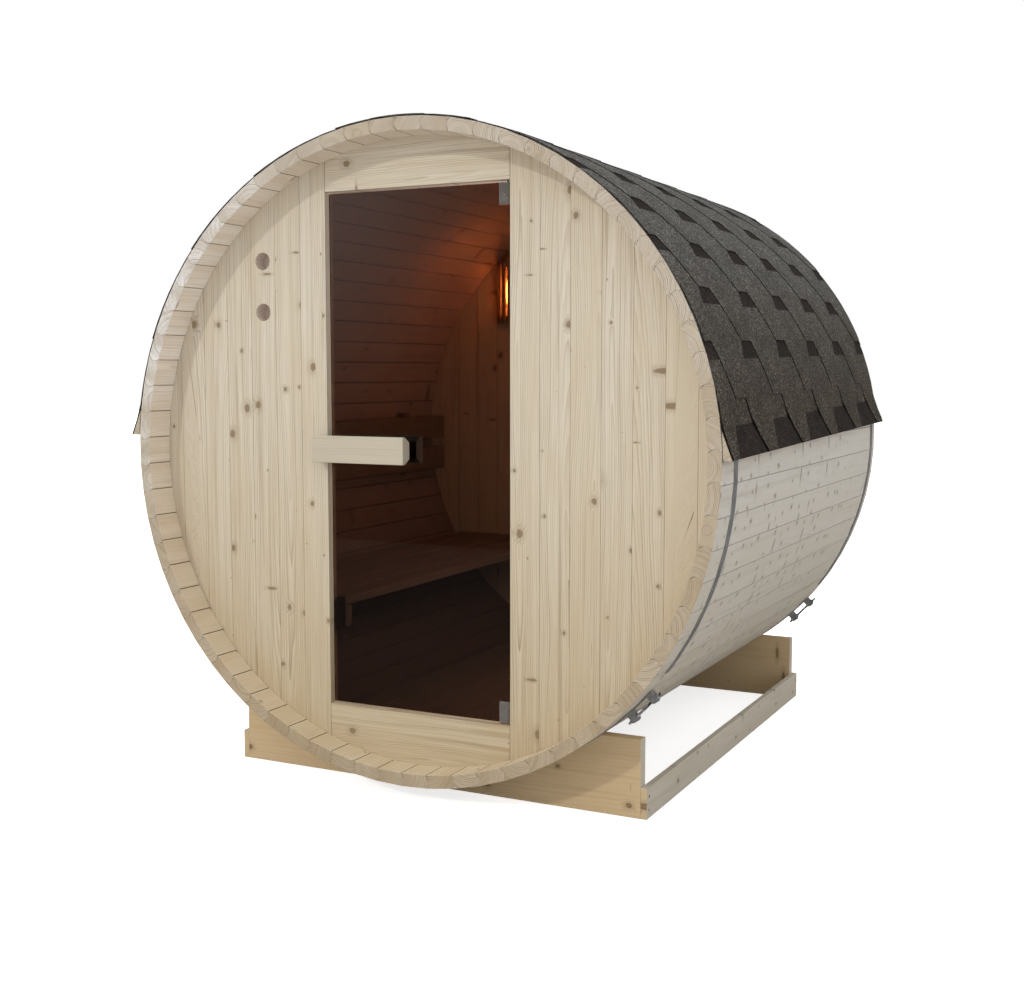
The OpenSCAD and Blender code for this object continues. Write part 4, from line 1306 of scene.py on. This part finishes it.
def handle_bar(node, side):
    """A bar with its glass side bevelled, on two round stand-offs."""
    low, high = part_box(node)
    face = low.y if side > 0 else high.y
    bar_back = face + side * HANDLE_T
    y0, y1 = min(face, bar_back), max(face, bar_back)
    bar = block((low.x, y0, low.z), (high.x, y1, high.z))
    edit(bar)
    slice_at(bar, (0, face + side * HANDLE_LIP, 0), (0, 1, 0))
    pick(bar, "faces", lambda f: f.normal.y * side > 0.9)
    bpy.ops.transform.resize(value=(1, 1, 0.050 / 0.083))
    done()
    ease(bar, 0.0022, 3, 25)
    one_board(bar, 2, 0)
    far = high.y if side > 0 else low.y
    parts = [bar]
    for x in HANDLE_PEGS:
        peg = drum(0.011, min(bar_back, far) - 0.002, max(bar_back, far), x, (low.z + high.z) / 2, 32)
        ease(peg, 0.0006)
        one_board(peg, 2, 1)
        parts.append(peg)
    return joined(parts, node + "_bar")


# Stage, light and camera


def build_stage():
    floor = start("plane", size=60.0, location=(0, 0, -0.0005))
    floor.name = "studio_floor"
    settle(floor)
    f = Finish("studio_floor")
    spot = f.spot()
    rays = f.node("LightPath", {}).outputs
    seen = rays["Is Camera Ray"]
    hidden = f.mix(rays["Is Glossy Ray"], (0.60, 0.585, 0.56), (0.075, 0.07, 0.065))
    pale = f.mix(f.noise(spot, 3.0), (0.90, 0.90, 0.90), (0.92, 0.92, 0.92))
    f.on_shader(Base_Color=f.mix(seen, hidden, pale), Emission_Strength=f.times(seen, 0.70),
                Emission_Color=(1.0, 1.0, 1.0), Roughness=0.95, Specular_IOR_Level=0.0)
    paint(floor, f.material)

    world = bpy.data.worlds.new("studio")
    bpy.context.scene.world = world
    world.use_nodes = True
    tree = world.node_tree
    tree.nodes.clear()
    rays = tree.nodes.new("ShaderNodeLightPath").outputs

    def sky(colour, strength):
        made = tree.nodes.new("ShaderNodeBackground")
        made.inputs["Color"].default_value = (*colour, 1.0)
        made.inputs["Strength"].default_value = strength
        return made

    def blend(share, first, second):
        made = tree.nodes.new("ShaderNodeMixShader")
        for number, source in enumerate((share, first.outputs[0], second.outputs[0])):
            tree.links.new(source, made.inputs[number])
        return made

    soft = sky((0.95, 0.97, 1.0), 1.0)
    dim = sky((1.0, 0.97, 0.93), 0.10)
    plain = sky((1.0, 1.0, 1.0), 1.0)
    whole = blend(rays["Is Camera Ray"], blend(rays["Is Glossy Ray"], soft, dim), plain)
    out = tree.nodes.new("ShaderNodeOutputWorld")
    tree.links.new(whole.outputs[0], out.inputs["Surface"])
    bpy.context.scene.view_settings.view_transform = "Standard"

    sun("key", energy=0.64, aim=(0.42, 1.0, -0.62), angle=2.5, tint=(1.0, 0.97, 0.92))
    sun("overhead", energy=0.6, aim=(0.05, 0.05, -1.0), angle=50.0, tint=(1.0, 1.0, 1.0))
    sun("side", energy=0.17, aim=(-1.0, 0.3, -0.12), angle=60.0, tint=(0.98, 0.97, 1.0))
    room_light("room_fill", 28.0, (0.62, -0.30, 1.12), 0.22, (0.97, 0.95, 1.0))
    low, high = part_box("lamp_shade")
    room_light("ceiling_glow", 2.9, (high.x - 0.01, low.y - 0.31, high.z - 0.12), 0.05, (1.0, 0.34, 0.08))
    build_reflector()


def build_reflector():
    """A soft card out in front that only shows as a faint sheen on the door glass."""
    card = start("plane", size=6.0, rotation=(math.pi / 2, 0, 0), location=CARD_SPOT)
    card.name = "sheen_card"
    settle(card)
    f = Finish("sheen_card")
    spot = f.spot()
    away = f.node("VectorMath", {0: spot, 1: CARD_SPOT}, operation="DISTANCE").outputs[1]
    f.on_shader(Emission_Strength=f.step(away, 2.3, 0.2, 0.0, 0.75), Base_Color=(0.0, 0.0, 0.0),
                Emission_Color=(1.0, 0.97, 1.0), Specular_IOR_Level=0.0)
    paint(card, f.material)
    card.visible_camera = False
    card.visible_diffuse = False
    card.visible_transmission = False
    card.visible_shadow = False


def room_light(name, energy, spot, radius, tint):
    """A soft light inside, itself unseen."""
    light = bpy.data.lights.new(name, "POINT")
    light.energy = energy
    light.shadow_soft_size = radius
    light.color = tint
    thing = bpy.data.objects.new(name, light)
    thing.location = spot
    thing.visible_camera = False
    thing.visible_glossy = False
    thing.visible_transmission = False
    bpy.context.scene.collection.objects.link(thing)


def sun(name, energy, aim, angle, tint):
    """A wide far light that shines along aim."""
    light = bpy.data.lights.new(name, "SUN")
    light.energy = energy
    light.angle = math.radians(angle)
    light.color = tint
    thing = bpy.data.objects.new(name, light)
    thing.rotation_euler = Vector(aim).to_track_quat("-Z", "Y").to_euler()
    thing.location = (-2.0, -4.0, 5.0)
    bpy.context.scene.collection.objects.link(thing)


def build_camera():
    lens = bpy.data.cameras.new("photo_view")
    lens.lens = 47.2
    lens.sensor_width = 36.0
    camera = bpy.data.objects.new("photo_view", lens)
    camera.location = (2.0574, -4.3411, 1.2905)
    camera.rotation_euler = (math.radians(84.801), 0, math.radians(26.528))
    bpy.context.scene.collection.objects.link(camera)
    bpy.context.scene.camera = camera


build_shell()
build_end_walls()
build_hoops()
build_slopes()
build_ridge()
build_battens()
build_cradle()
build_inside()
build_lamp()
build_door()
build_stage()
build_camera()
